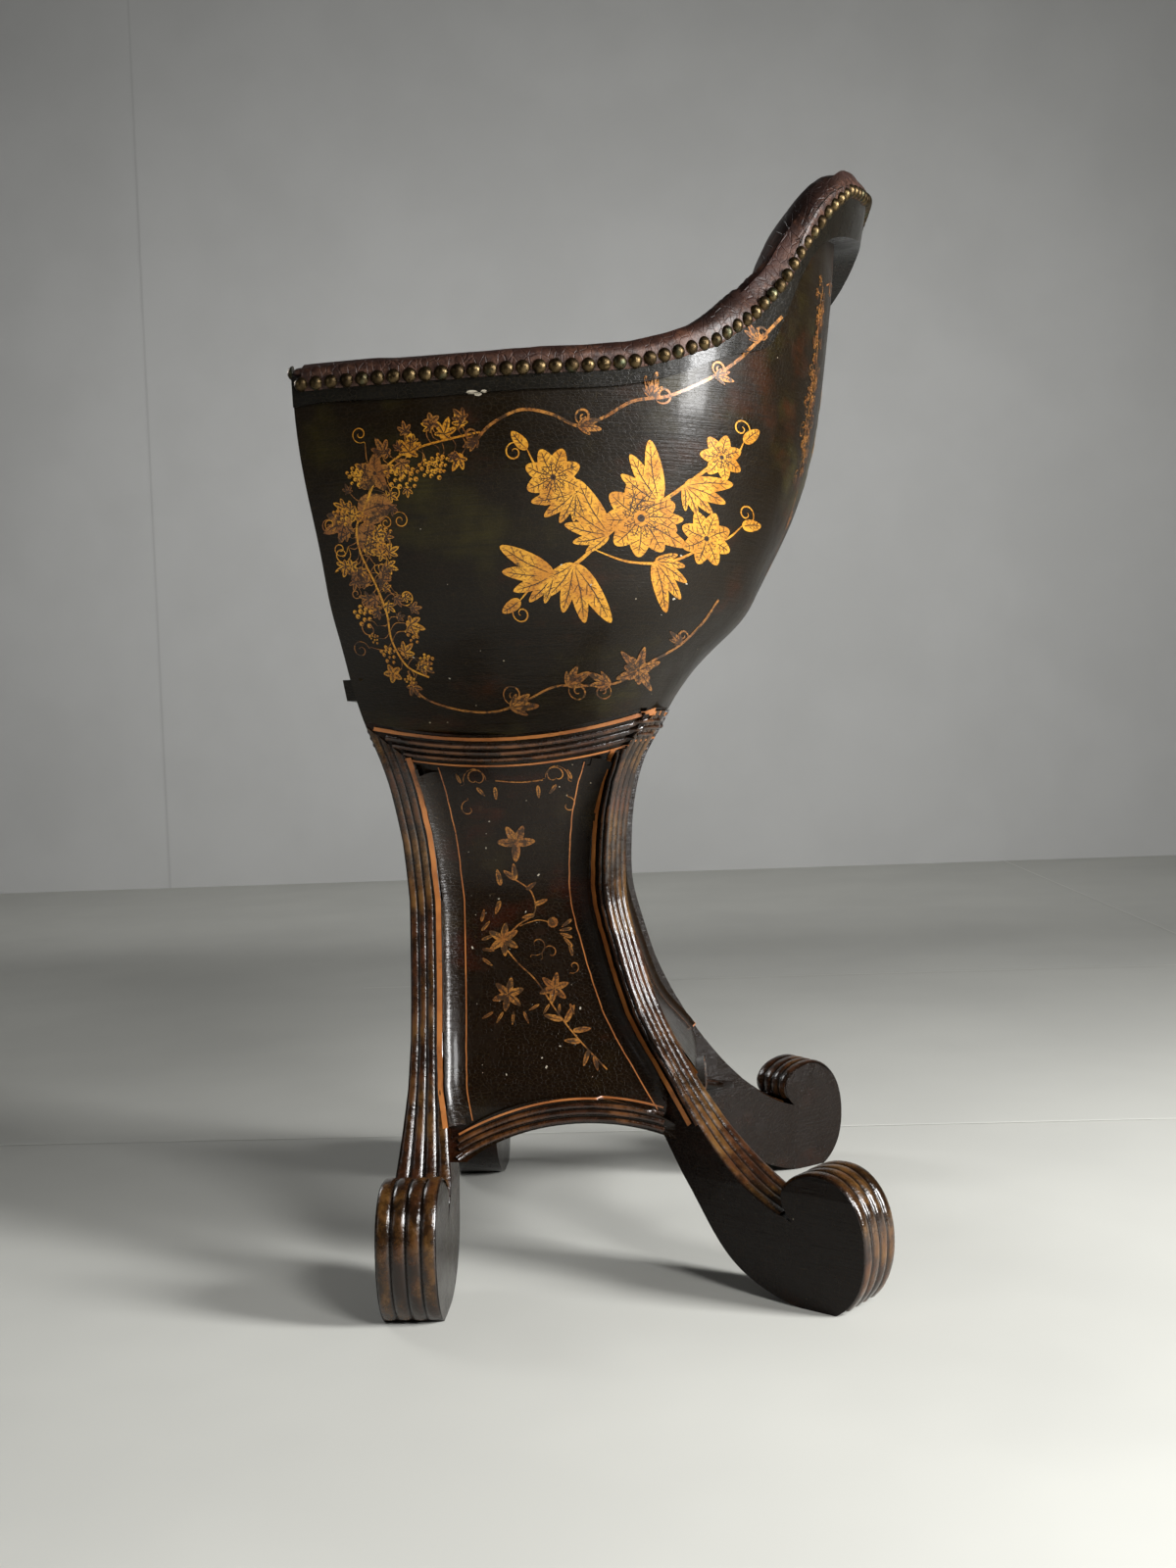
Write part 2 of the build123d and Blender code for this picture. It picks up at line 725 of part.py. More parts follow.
def frame_wire(way, height, inset, thickness):
    """The level outline of one side's board at a height."""
    front, near, far = post_corners(height)
    if way == "side":
        a = Vector(front.X - inset, front.Y + post_width / 2, height)
        b = Vector(near.X - inset, near.Y - inset, height)
        bow = side_bow * interpolate(side_bow_shares, height / join_height)
        out, inward = Vector(bow, 0, 0), Vector(-thickness, 0, 0)
        near_arc = ThreePointArc(a, (a + b) / 2 + out, b)
        far_arc = ThreePointArc(b + inward, (a + b) / 2 + out + inward, a + inward)
        return Wire([near_arc, Line(b, b + inward), far_arc, Line(a + inward, a)])
    if way == "front":
        a = Vector(front.X - post_width / 2, front.Y + inset, height)
        b = Vector(-a.X, a.Y, height)
        inward = Vector(0, thickness, 0)
    else:
        a = Vector(far.X - inset, far.Y - inset, height)
        b = Vector(-a.X, a.Y, height)
        inward = Vector(0, -thickness, 0)
    return Wire(Polyline(a, b, b + inward, a + inward, a).edges())


frame_heights = [share * join_height for share, _, _ in leg_top_shares + leg_foot_shares[:6]]


def board_of(way, inset, thickness):
    """A bent board that follows the legs from the arch to the joint."""
    return Solid.make_loft([frame_wire(way, height, inset, thickness) for height in frame_heights])


def under_arc(way, spring, rise, back_spring):
    """Everything under an arc that rises between the legs, seen square to that side."""
    if way == "side":
        front, _, far = post_corners(spring)
        start, end = front.Y + post_width / 2, far.Y - post_width
        turn = [Vector(0, start, spring), Vector(0, start + (end - start) * arch_crown_share, rise),
                Vector(0, end, back_spring)]
        out, direction = Vector(0, overall_depth, 0), (1, 0, 0)
    else:
        half = waist_half + post_width
        turn = [Vector(-half, 0, spring), Vector(0, 0, rise), Vector(half, 0, spring)]
        out, direction = Vector(arm_width, 0, 0), (0, 1, 0)
    deep = Vector(0, 0, -overall_height)
    rest = Polyline(turn[2], turn[2] + out, turn[2] + out + deep, turn[0] - out + deep, turn[0] - out, turn[0])
    face = Face(Wire([ThreePointArc(*turn)] + rest.edges()))
    return extrude(face, arm_width, dir=direction, both=True)


pedestal = {}
leg_group = legs["leg_front_left"] + legs["leg_rear_left"]
leg_group = leg_group + mirrored(leg_group)
side_boards = None
for way in ("side", "front", "back"):
    butted = front_plank + mirrored(front_plank) if way == "front" else leg_group
    frame = board_of(way, frame_inset, frame_thickness) - butted
    panel = board_of(way, frame_inset + panel_recess, panel_thickness) - butted
    if way == "side":
        side_boards = frame + mirrored(frame)
    else:
        frame = frame - side_boards
        panel = panel - side_boards
    top_line = below_join(top_rail_dip, -overrun, join_height - top_rail_height, "Y" if way == "side" else "X")
    arch = under_arc(way, arch_spring, arch_height, arch_spring)
    arch_line = under_arc(way, arch_spring + arch_moulding, arch_height + arch_moulding,
                          arch_spring + arch_moulding)
    pedestal["top_rail_" + way] = (frame & under_join) - top_line
    pedestal["arch_rail_" + way] = (frame & arch_line) - arch
    pedestal["panel_" + way] = (panel & top_line) - arch_line


def largest(shape):
    """The main solid of a shape, without the crumbs that a cut leaves behind."""
    return max(shape.solids(), key=lambda each: each.volume)


# Boards and blocks that tie the tub to the pedestal
def cavity_wire(height):
    """The level outline of the space inside the pedestal's boards."""
    front, near, far = post_corners(height)
    gap = frame_inset + frame_thickness + soft_gap
    start, end = front.Y + gap, far.Y - gap - frame_inset
    low, high = front.Y + post_width / 2, near.Y - frame_inset
    a, b = [Vector(front.X + (near.X - front.X) * (y - low) / (high - low) - gap, y, height)
            for y in (start, end)]
    bow = Vector(side_bow * cavity_bow_share * interpolate(side_bow_shares, height / join_height), 0, 0)
    middle = (a + b) / 2 + bow
    c, d, other = [Vector(-v.X, v.Y, height) for v in (b, a, middle)]
    return Wire([ThreePointArc(a, middle, b), Line(b, c), ThreePointArc(c, other, d), Line(d, a)])


cavity = Solid.make_loft([cavity_wire(height) for height in frame_heights]) - leg_group
board_top = join_height - join_dip
board_low = board_top - inner_board
pedestal_board = cavity & slab(board_low, board_top)
floor_board = ((seat_space - join_cut) + cavity) & slab(board_top, board_top + inner_board)
floor_board = floor_board - legs["leg_front_left"] - legs["leg_rear_left"]
floor_board = floor_board - legs["leg_front_right"] - legs["leg_rear_right"]
for way in ("side", "front", "back"):
    floor_board = floor_board - pedestal["top_rail_" + way]
floor_board = floor_board - mirrored(pedestal["top_rail_side"])

block_low = board_low - glue_block_length
blocks = []
front, near, far = post_corners(block_low)
gap = frame_inset + frame_thickness + soft_gap
back_edge = far.Y - gap - frame_inset
for y in (front.Y + gap, back_edge - glue_block):
    half = (front.X if y < 0 and y < back_edge - glue_block else near.X) - gap
    piece = cavity & slab(block_low, board_low, y, y + glue_block, half - glue_block, half)
    blocks += [piece, mirrored(piece)]

screw_outline = Polyline(Vector(0, 0, 0), Vector(screw_head / 2, 0, 0), Vector(screw_diameter / 2, 0, -screw_sink),
                         Vector(screw_diameter / 2, 0, -screw_length), Vector(0, 0, -screw_length), Vector(0, 0, 0))
screw = revolve(Face(screw_outline), Axis.Z)
screws = []
for x_share, y_share in board_screw_shares:
    y = waist_front + (rear_leg_y - waist_front) * y_share
    screws.append(Pos(waist_half * x_share, y, board_top + inner_board) * screw)

# Brass pins that hold the stiles, and blocks that brace the seat rails
pins = []
for share in stile_pin_shares:
    height = share * overall_height
    x, y = outline_point(pin_place_share, height)
    pin = Pos(x + pin_proud, y, height) * Rot(0, 90, 0) * Cylinder(pin_diameter / 2, pin_length,
                                                            align=(Align.CENTER, Align.CENTER, Align.MAX))
    pins += [pin, mirrored(pin)]

x, _ = outline_point(brace_place_share, seat_low, -inside_gap - seat_rail_width)
y = front_rail_back
corner = Face(Polyline(Vector(x, y, seat_low), Vector(x - corner_block, y, seat_low),
                       Vector(x, y + corner_block, seat_low), Vector(x, y, seat_low)))
brace_left = extrude(corner, seat_rail_height, dir=(0, 0, 1))
brace_left = brace_left - side_rails["left"]
corner_blocks = [brace_left, mirrored(brace_left)]


def cut_by(shape, tools):
    """A board with the holes that its fasteners fill."""
    for tool in tools:
        shape = shape - tool
    return shape


# Holes for the fasteners
pins_left, pins_right = pins[0::2], pins[1::2]
stiles = {"left": cut_by(stiles["left"], pins_left), "right": cut_by(stiles["right"], pins_right)}
upright_left, upright_right = upright_dowels[0::2], upright_dowels[1::2]
dowels = {"left": upright_left + [rail_dowel_left], "right": upright_right + [mirrored(rail_dowel_left)]}
for side in ("left", "right"):
    uprights = upright_left if side == "left" else upright_right
    arm_rails[side] = cut_by(arm_rails[side], dowels[side])
    crest_rail = cut_by(crest_rail, dowels[side])
    sides[side] = cut_by(sides[side], uprights)
    stiles[side] = cut_by(stiles[side], uprights)
tub_back = cut_by(tub_back, upright_dowels)
pedestal_board = cut_by(pedestal_board, screws)
floor_board = cut_by(floor_board, screws)

# Every sub-part, each in its own file
write("tub_back", tub_back)
write("crest_rail", crest_rail)
write("rim_roll", largest(rim_roll))
write("inside_lining", largest(inside_lining))
write("seat_rail_front", seat_rail_front)
write("seat_rail_back", seat_rail_back)
write("seat_pad", seat_pad)
write("seat_webbing", Compound(webs))
write("seat_corner_blocks", Compound(corner_blocks))
write("tub_floor_board", largest(floor_board))
write("pedestal_top_board", largest(pedestal_board))
write("pedestal_glue_blocks", Compound(blocks))
write("board_screws", Compound(screws))
write("stile_pins", Compound(pins))
write("rail_joint_dowels", rail_dowels)
write("rim_dowels", Compound(upright_dowels))
write("arm_front_nails", Compound(arm_nails))
for side in ("left", "right"):
    write("tub_side_" + side, sides[side])
    write("front_stile_" + side, stiles[side])
    write("arm_rail_" + side, arm_rails[side])
    write("seat_rail_" + side, side_rails[side])
    write("rim_nails_" + side, Compound(nails_left if side == "left" else nails_right))
for name, each in legs.items():
    write(name, each)
for name, each in pedestal.items():
    each = largest(each)
    if name.endswith("_side"):
        write(name.replace("_side", "_left"), each)
        write(name.replace("_side", "_right"), mirrored(each))
    else:
        write(name, each)
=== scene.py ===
"""Looks for the gondola chair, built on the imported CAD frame.

Lengths are in metres unless a name or a comment says mm. The front faces -Y, and +X is the sitter's left.
"""
import math
import random
from functools import partial

import bmesh
import bpy
from mathutils import Matrix, Vector, noise
from mathutils.bvhtree import BVHTree
from mathutils.kdtree import KDTree


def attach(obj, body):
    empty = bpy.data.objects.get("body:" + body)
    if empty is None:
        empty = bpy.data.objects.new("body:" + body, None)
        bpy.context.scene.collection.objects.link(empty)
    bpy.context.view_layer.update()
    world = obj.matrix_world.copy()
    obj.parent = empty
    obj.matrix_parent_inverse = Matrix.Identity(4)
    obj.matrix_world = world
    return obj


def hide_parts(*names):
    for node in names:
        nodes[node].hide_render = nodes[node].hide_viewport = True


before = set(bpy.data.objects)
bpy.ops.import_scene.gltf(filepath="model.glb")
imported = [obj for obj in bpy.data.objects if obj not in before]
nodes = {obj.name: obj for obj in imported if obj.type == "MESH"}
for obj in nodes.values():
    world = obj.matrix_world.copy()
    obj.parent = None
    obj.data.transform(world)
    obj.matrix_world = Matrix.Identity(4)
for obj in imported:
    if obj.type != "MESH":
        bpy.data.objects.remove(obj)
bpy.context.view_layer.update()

# ---- Camera ----
# It stands at the sitter's left, at half the chair's height, and is tilted as the photograph is.
CAM_PLACE = Vector((1.310, 0.046, 0.416))
CAM_YAW, CAM_PITCH, CAM_ROLL = (math.radians(a) for a in (3.55, 2.0, 2.2))
CAM_LENS = 36.4

look = Vector((-math.cos(CAM_YAW) * math.cos(CAM_PITCH), -math.sin(CAM_YAW) * math.cos(CAM_PITCH),
               -math.sin(CAM_PITCH)))
right = Vector((-math.sin(CAM_YAW), math.cos(CAM_YAW), 0))
up = right.cross(look)
rolled_right = right * math.cos(CAM_ROLL) - up * math.sin(CAM_ROLL)
rolled_up = rolled_right.cross(look)
camera = bpy.data.objects.new("camera", bpy.data.cameras.new("camera"))
bpy.context.scene.collection.objects.link(camera)
camera.data.lens = CAM_LENS
camera.data.sensor_width = 36
camera.matrix_world = Matrix([[rolled_right[i], rolled_up[i], -look[i], CAM_PLACE[i]] for i in range(3)]
                             + [[0, 0, 0, 1]])
camera.data.clip_start = 0.01
bpy.context.scene.camera = camera


# ---- Lacquered boards of the tub and the pedestal ----
# Shaped boards under brown-black oil lacquer, brushed on in many coats and rubbed level. It has gone
# olive and brown in patches and has crazed finely, and pale specks show where it chipped to its ground.
MM = 0.001
SMOOTH = {"interpolation_type": "SMOOTHSTEP"}   # a soft step between two values
COLOURS = {"out": 2, "data_type": "RGBA"}       # a blend of two colours


def linear(text):
    """Linear colour of an sRGB hex code."""
    parts = [int(text[i:i + 2], 16) / 255 for i in (0, 2, 4)]
    return [c / 12.92 if c <= 0.04045 else ((c + 0.055) / 1.055) ** 2.4 for c in parts] + [1]


def per(size_mm):
    """Pattern scale for features of that size in millimetres, on object coordinates in metres."""
    return 1000 / size_mm


def add(tree, kind, out=0, **given):
    """Adds a node with its settings and links, and returns one of its outputs."""
    node = tree.nodes.new("ShaderNode" + kind)
    sockets = {socket.identifier.replace(" ", "_"): socket for socket in node.inputs}
    for word, value in given.items():
        if word not in sockets:
            setattr(node, word, value)
        elif isinstance(value, bpy.types.NodeSocket):
            tree.links.new(value, sockets[word])
        elif value is not None:
            sockets[word].default_value = linear(value) if isinstance(value, str) else value
    return node.outputs[out] if node.outputs else node


def started(name):
    """A new material, the call that adds to its empty tree, and its object coordinates."""
    made = bpy.data.materials.new(name)
    made.use_nodes = True
    made.node_tree.nodes.clear()
    n = partial(add, made.node_tree)
    return made, n, n("TexCoord", "Object")


def oil_lacquer(name, dark, olive, brown, rough=0.30, specks=1.0, patch=0.5, lumps=0.5, gloss=0.12):
    """Nearly black and softly shiny, with brush marks that catch the light and a faint net of cracks."""
    made, n, here = started(name)
    # Patches a hand's breadth across
    cloud = n("TexNoise", Vector=here, Scale=per(130), Detail=4, Roughness=0.6)
    low = 0.66 - patch * 0.3
    share = n("MapRange", **SMOOTH, Value=cloud, From_Min=low, From_Max=low + 0.2)
    colour = n("Mix", **COLOURS, Factor_Float=share, A_Color=dark, B_Color=olive)
    tall = n("Mapping", Vector=here, Scale=(1, 1, 1.6))
    cloud = n("TexNoise", Vector=tall, Scale=per(80), Detail=5, Roughness=0.62)
    share = n("MapRange", **SMOOTH, Value=cloud, From_Min=0.54, From_Max=0.72, To_Max=0.8)
    colour = n("Mix", **COLOURS, Factor_Float=share, A_Color=colour, B_Color=brown)
    # Level brush marks, the bristles 1.6 mm apart
    level = n("Mapping", Vector=here, Scale=(per(38), per(38), per(1.6)))
    strokes = n("TexNoise", Vector=level, Scale=1, Detail=3, Roughness=0.6)
    share = n("MapRange", **SMOOTH, Value=strokes, From_Min=0.40, From_Max=0.75, To_Max=0.45)
    colour = n("Mix", **COLOURS, Factor_Float=share, A_Color=colour, B_Color="080705")
    # Crazing in cells of 3.6 mm
    flat = n("Mapping", Vector=here, Scale=(1, 1, 1.5))
    cells = n("TexVoronoi", feature="DISTANCE_TO_EDGE", Vector=flat, Scale=per(3.6))
    crack = n("MapRange", **SMOOTH, Value=cells, From_Min=0.0, From_Max=0.05, To_Min=1, To_Max=0)
    share = n("Math", operation="MULTIPLY", Value=crack, Value_001=0.22)
    colour = n("Mix", **COLOURS, Factor_Float=share, A_Color=colour, B_Color="40341f")
    # Specks of the ground, in loose groups
    cloud = n("TexNoise", Vector=here, Scale=per(55), Detail=2, Roughness=0.55)
    group = n("MapRange", **SMOOTH, Value=cloud, From_Min=0.50, From_Max=0.58)
    cells = n("TexVoronoi", Vector=here, Scale=per(17))
    speck = n("MapRange", **SMOOTH, Value=cells, From_Min=0.026, From_Max=0.044, To_Min=specks, To_Max=0)
    share = n("Math", operation="MULTIPLY", Value=speck, Value_001=group)
    colour = n("Mix", **COLOURS, Factor_Float=share, A_Color=colour, B_Color="a79c86")
    # Duller where hands have smeared it
    wide = n("Mapping", Vector=here, Scale=(1, 1, 0.6))
    smear = n("TexNoise", Vector=wide, Scale=per(45), Detail=5, Roughness=0.7)
    dull = n("MapRange", **SMOOTH, Value=smear, From_Min=0.3, From_Max=0.75, To_Min=rough, To_Max=rough + 0.16)
    swells = n("TexNoise", Vector=here, Scale=per(24), Detail=3, Roughness=0.55)
    grains = n("TexNoise", Vector=here, Scale=per(2.4), Detail=3, Roughness=0.55)
    bump = None
    for height, depth in ((strokes, 0.34), (swells, lumps), (crack, -0.05), (grains, 0.04)):
        bump = n("Bump", Height=height, Distance=depth * MM, Normal=bump)
    n("OutputMaterial", Surface=n("BsdfPrincipled", Base_Color=colour, Roughness=dull, Normal=bump,
                                  Specular_IOR_Level=0.19, Coat_Weight=gloss, Coat_Roughness=0.12))
    return made


def paint(material, *names):
    """Puts a material on CAD nodes."""
    for name in names:
        nodes[name].data.materials.clear()
        nodes[name].data.materials.append(material)


# The shaped solids of the tub, of the rail that caps its rim, and of the legs
TUB = ["tub_side_left", "tub_side_right", "tub_back", "front_stile_left", "front_stile_right"]
RAILS = ["arm_rail_left", "arm_rail_right", "crest_rail"]
LEG_NODES = [f"leg_{place}_{side}" for place in ("front", "rear") for side in ("left", "right")]
paint(oil_lacquer("olive_black_lacquer", "130b02", "302a0a", "2e1505"), *TUB, "seat_rail_front")
panel_lacquer = oil_lacquer("brown_black_lacquer", "140a03", "2d240e", "2b0f05",
                            rough=0.18, patch=0.4, lumps=0.8, gloss=0.22)
paint(panel_lacquer, *(f"{board}_{way}" for board in ("panel", "top_rail", "arch_rail")
                       for way in ("front", "back", "left", "right")))
paint(oil_lacquer("grey_black_lacquer", "15130f", "201f17", "190f08",
                  rough=0.24, specks=0.7, patch=0.3, lumps=0.9, gloss=0.15), *RAILS)
paint(oil_lacquer("black_lacquer_on_legs", "100602", "1e180c", "260f04",
                  rough=0.20, specks=0.6, patch=0.35, lumps=1.0, gloss=0.07), *LEG_NODES)


# ---- Raw wood, webbing and screws inside ----
# Sawn beech that was never finished, jute webbing in flat bands under the seat, and the plain steel
# screws that hold the tub's floor board on the pedestal.
def sawn_beech():
    """Warm and dull, with long soft rings and short dark flecks."""
    made, n, here = started("sawn_beech")
    along = n("Mapping", Vector=here, Scale=(per(6), per(60), per(6)))
    rings = n("TexNoise", Vector=along, Scale=1, Detail=4, Roughness=0.6, Distortion=0.4)
    share = n("MapRange", **SMOOTH, Value=rings, From_Min=0.3, From_Max=0.7)
    colour = n("Mix", **COLOURS, Factor_Float=share, A_Color="8f6d45", B_Color="b08a5c")
    short = n("Mapping", Vector=here, Scale=(per(1), per(7), per(1)))
    flecks = n("TexNoise", Vector=short, Scale=1, Detail=2, Roughness=0.5)
    share = n("MapRange", **SMOOTH, Value=flecks, From_Min=0.6, From_Max=0.75, To_Max=0.5)
    colour = n("Mix", **COLOURS, Factor_Float=share, A_Color=colour, B_Color="6d4e2e")
    saw_marks = n("TexNoise", Vector=here, Scale=per(1.5), Detail=2, Roughness=0.55)
    bump = n("Bump", Height=saw_marks, Distance=0.1 * MM, Normal=n("Bump", Height=flecks, Distance=0.15 * MM))
    n("OutputMaterial", Surface=n("BsdfPrincipled", Base_Color=colour, Roughness=0.75, Normal=bump))
    return made


def jute_webbing():
    """Coarse and matt, with threads about 1.6 mm apart."""
    made, n, here = started("jute_webbing")
    flat = n("Mapping", Vector=here, Scale=(per(12.6), per(12.6), 0))
    threads = n("TexWave", "Fac", bands_direction="DIAGONAL", Vector=flat)
    colour = n("Mix", **COLOURS, Factor_Float=threads, A_Color="6f5a38", B_Color="a38a5c")
    fibres = n("TexNoise", Vector=here, Scale=per(1), Detail=2, Roughness=0.55)
    bump = n("Bump", Height=fibres, Distance=0.2 * MM, Normal=n("Bump", Height=threads, Distance=0.4 * MM))
    n("OutputMaterial", Surface=n("BsdfPrincipled", Base_Color=colour, Roughness=0.92, Normal=bump))
    return made


def screw_steel():
    """Grey, turned, and a little uneven in its shine."""
    made, n, here = started("plain_steel")
    tone = n("TexNoise", Vector=here, Scale=per(4), Detail=3, Roughness=0.55)
    colour = n("Mix", **COLOURS, Factor_Float=tone, A_Color="6f6c67", B_Color="8f8b84")
    dull = n("MapRange", **SMOOTH, Value=tone, From_Min=0.3, From_Max=0.7, To_Min=0.35, To_Max=0.55)
    n("OutputMaterial", Surface=n("BsdfPrincipled", Base_Color=colour, Roughness=dull, Metallic=1.0))
    return made


paint(sawn_beech(), "seat_rail_back", "seat_rail_left", "seat_rail_right", "seat_corner_blocks",
      "tub_floor_board", "pedestal_top_board", "pedestal_glue_blocks", "rail_joint_dowels", "rim_dowels")
paint(jute_webbing(), "seat_webbing")
paint(screw_steel(), "board_screws")


# ---- Domed nails and pins ----
# Domed brass heads, set edge to edge along the leather, and the pins that hold the stiles. They have
# aged: brightest on the dome, brown and a little green in the hollows between them.
def aged_brass():
    """A dark warm metal with clouded shine."""
    made, n, here = started("aged_brass")
    tone = n("TexNoise", Vector=here, Scale=per(9), Detail=4, Roughness=0.6)
    share = n("MapRange", **SMOOTH, Value=tone, From_Min=0.32, From_Max=0.68)
    colour = n("Mix", **COLOURS, Factor_Float=share, A_Color="30261a", B_Color="64543a")
    cloud = n("TexNoise", Vector=here, Scale=per(14), Detail=3, Roughness=0.55)
    green = n("MapRange", **SMOOTH, Value=cloud, From_Min=0.56, From_Max=0.70, To_Max=0.55)
    colour = n("Mix", **COLOURS, Factor_Float=green, A_Color=colour, B_Color="4c5846")
    spots = n("TexNoise", Vector=here, Scale=per(2.4), Detail=3, Roughness=0.55)
    dirt = n("MapRange", **SMOOTH, Value=spots, From_Min=0.50, From_Max=0.72, To_Max=0.8)
    colour = n("Mix", **COLOURS, Factor_Float=dirt, A_Color=colour, B_Color="1c150c")
    dents = n("TexNoise", Vector=here, Scale=per(3), Detail=3, Roughness=0.55)
    pits = n("TexNoise", Vector=here, Scale=per(1), Detail=2, Roughness=0.55)
    bump = n("Bump", Height=pits, Distance=0.08 * MM, Normal=n("Bump", Height=dents, Distance=0.25 * MM))
    dull = n("MapRange", **SMOOTH, Value=tone, From_Min=0.3, From_Max=0.7, To_Min=0.48, To_Max=0.32)
    n("OutputMaterial", Surface=n("BsdfPrincipled", Base_Color=colour, Roughness=dull, Metallic=1.0,
                                  Normal=bump))
    return made


paint(aged_brass(), "rim_nails_left", "rim_nails_right", "arm_front_nails", "stile_pins")


# ---- Leather roll, its nailed edge, and the lining ----
# Reddish brown hide drawn tight over stuffing: a roll along the rim, whose edge comes down over the rail
# under the nails, and one skin inside the tub. It is rubbed pale along the crown and beside the nails.
NAIL_REACH = (7, 15)    # from a nail's middle, mm: the hide is held down inside, and free outside
BEND = 111              # how far back the arms turn up into the crest, mm
CREST = 140             # behind this the hide is drawn thin over the crest, mm


def hide(name, deep="3a1a12", middle="5a2a1e", worn="8d5f50", wear=0.5, rough=0.42):
    """Soft satin shine, fine pores 1.5 mm apart, creases darkened with painted shade, and a paler colour where
    it is rubbed.
    """
    made, n, here = started(name)
    patches = n("TexNoise", Vector=here, Scale=per(60), Detail=4, Roughness=0.6)
    share = n("MapRange", **SMOOTH, Value=patches, From_Min=0.35, From_Max=0.68)
    colour = n("Mix", **COLOURS, Factor_Float=share, A_Color=deep, B_Color=middle)
    cloud = n("TexNoise", Vector=here, Scale=per(22), Detail=5, Roughness=0.7)
    low = 0.60 - wear * 0.12
    rub = n("MapRange", **SMOOTH, Value=cloud, From_Min=low, From_Max=low + 0.2, To_Max=0.8)
    colour = n("Mix", **COLOURS, Factor_Float=rub, A_Color=colour, B_Color=worn)
    pores = n("TexVoronoi", Vector=here, Scale=per(1.5))
    narrow = n("Mapping", Vector=here, Scale=(1, 1.7, 1))
    cells = n("TexVoronoi", feature="DISTANCE_TO_EDGE", Vector=narrow, Scale=per(10))
    folds = n("MapRange", **SMOOTH, Value=cells, From_Min=0.0, From_Max=0.07, To_Min=1, To_Max=0)
    # Painted shade: the creases' lines are darkened in colour, as well as sunk by the bump.
    share = n("Math", operation="MULTIPLY", Value=folds, Value_001=0.45)
    colour = n("Mix", **COLOURS, Factor_Float=share, A_Color=colour, B_Color="220d09")
    cloud = n("TexNoise", Vector=here, Scale=per(6), Detail=4, Roughness=0.7)
    broken = n("MapRange", **SMOOTH, Value=cloud, From_Min=0.40, From_Max=0.64, To_Min=0.1, To_Max=0.75)
    near = n("Attribute", "Fac", attribute_name="rubbed")
    share = n("Math", operation="MULTIPLY", Value=near, Value_001=broken)
    colour = n("Mix", **COLOURS, Factor_Float=share, A_Color=colour, B_Color="593c2e")
    swells = n("TexNoise", Vector=here, Scale=per(13), Detail=4, Roughness=0.55)
    bump = None
    for height, depth in ((pores, 0.16), (folds, -0.30), (swells, 0.9)):
        bump = n("Bump", Height=height, Distance=depth * MM, Normal=bump)
    dull = n("MapRange", **SMOOTH, Value=patches, From_Min=0.3, From_Max=0.7, To_Min=rough, To_Max=rough + 0.16)
    n("OutputMaterial", Surface=n("BsdfPrincipled", Base_Color=colour, Roughness=dull, Normal=bump,
                                  Specular_IOR_Level=0.36, Coat_Weight=0.08, Coat_Roughness=0.3))
    return made


def merged(node):
    """A CAD node's mesh with its points joined, for the scene's own use."""
    bm = bmesh.new()
    bm.from_mesh(nodes[node].data)
    bm.transform(nodes[node].matrix_world)
    bmesh.ops.remove_doubles(bm, verts=bm.verts, dist=1e-5)
    return bm


def as_piece(bm, name, *materials):
    """A smooth object made of a bmesh, at the origin."""
    mesh = bpy.data.meshes.new(name)
    bm.to_mesh(mesh)
    bm.free()
    for face in mesh.polygons:
        face.use_smooth = True
    for material in materials:
        mesh.materials.append(material)
    piece = bpy.data.objects.new(name, mesh)
    bpy.context.scene.collection.objects.link(piece)
    return piece


def applied(piece, kind, **settings):
    """Adds a modifier and applies it to the mesh."""
    modifier = piece.modifiers.new(kind, kind)
    for key, value in settings.items():
        setattr(modifier, key, value)
    done = bpy.data.meshes.new_from_object(piece.evaluated_get(bpy.context.evaluated_depsgraph_get()))
    piece.modifiers.clear()
    old, piece.data = piece.data, done
    bpy.data.meshes.remove(old)
    for face in piece.data.polygons:
        face.use_smooth = True


def stuffed(node, name, material, voxel, push):
    """A soft piece in place of a CAD one: its shape in even quads, each point moved by push."""
    piece = as_piece(merged(node), name)
    applied(piece, "REMESH", mode="VOXEL", voxel_size=voxel * MM)
    applied(piece, "SMOOTH", factor=0.5, iterations=3)
    moves = [v.normal * push(v.co, v.normal) for v in piece.data.vertices]
    for vertex, move in zip(piece.data.vertices, moves):
        vertex.co += move
    piece.data.materials.append(material)
    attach(piece, "root")
    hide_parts(node)
    return piece


def crease(co, size, depth, squeeze=1):
    """Depth of a crease that wanders through space: narrow valleys between broad swells."""
    spot = Vector((co.x, co.y, co.z * squeeze)) / (size * MM)
    return -depth * MM * max(0.0, 1 - abs(noise.noise(spot)) * 6)


def nail_row(node):
    """The middle of each nail of a row and the way it points out, in order from the arm's end."""
    bm = merged(node)
    left_over, middles = set(bm.verts), []
    while left_over:
        island, todo = [], [left_over.pop()]
        while todo:
            vert = todo.pop()
            island.append(vert.co.copy())
            for edge in vert.link_edges:
                other = edge.other_vert(vert)
                if other in left_over:
                    left_over.remove(other)
                    todo.append(other)
        middle = sum(island, Vector()) / len(island)
        tip = max(island, key=lambda co: (co - middle).length)
        middles.append((middle, (middle - tip).normalized()))
    bm.free()
    row = [min(middles, key=lambda each: each[0].y)]
    while len(row) < len(middles):
        row.append(min((each for each in middles if each not in row),
                       key=lambda each: (each[0] - row[-1][0]).length))
    return row


nail_line = nail_row("rim_nails_left") + nail_row("rim_nails_right")[::-1]
nail_spots = KDTree(len(nail_line))
for i, (co, _) in enumerate(nail_line):
    nail_spots.insert(co, i)
nail_spots.balance()


def eased(value, low, high):
    """0 below low to 1 above high, smoothly."""
    t = min(1.0, max(0.0, (value - low) / (high - low)))
    return t * t * (3 - 2 * t)


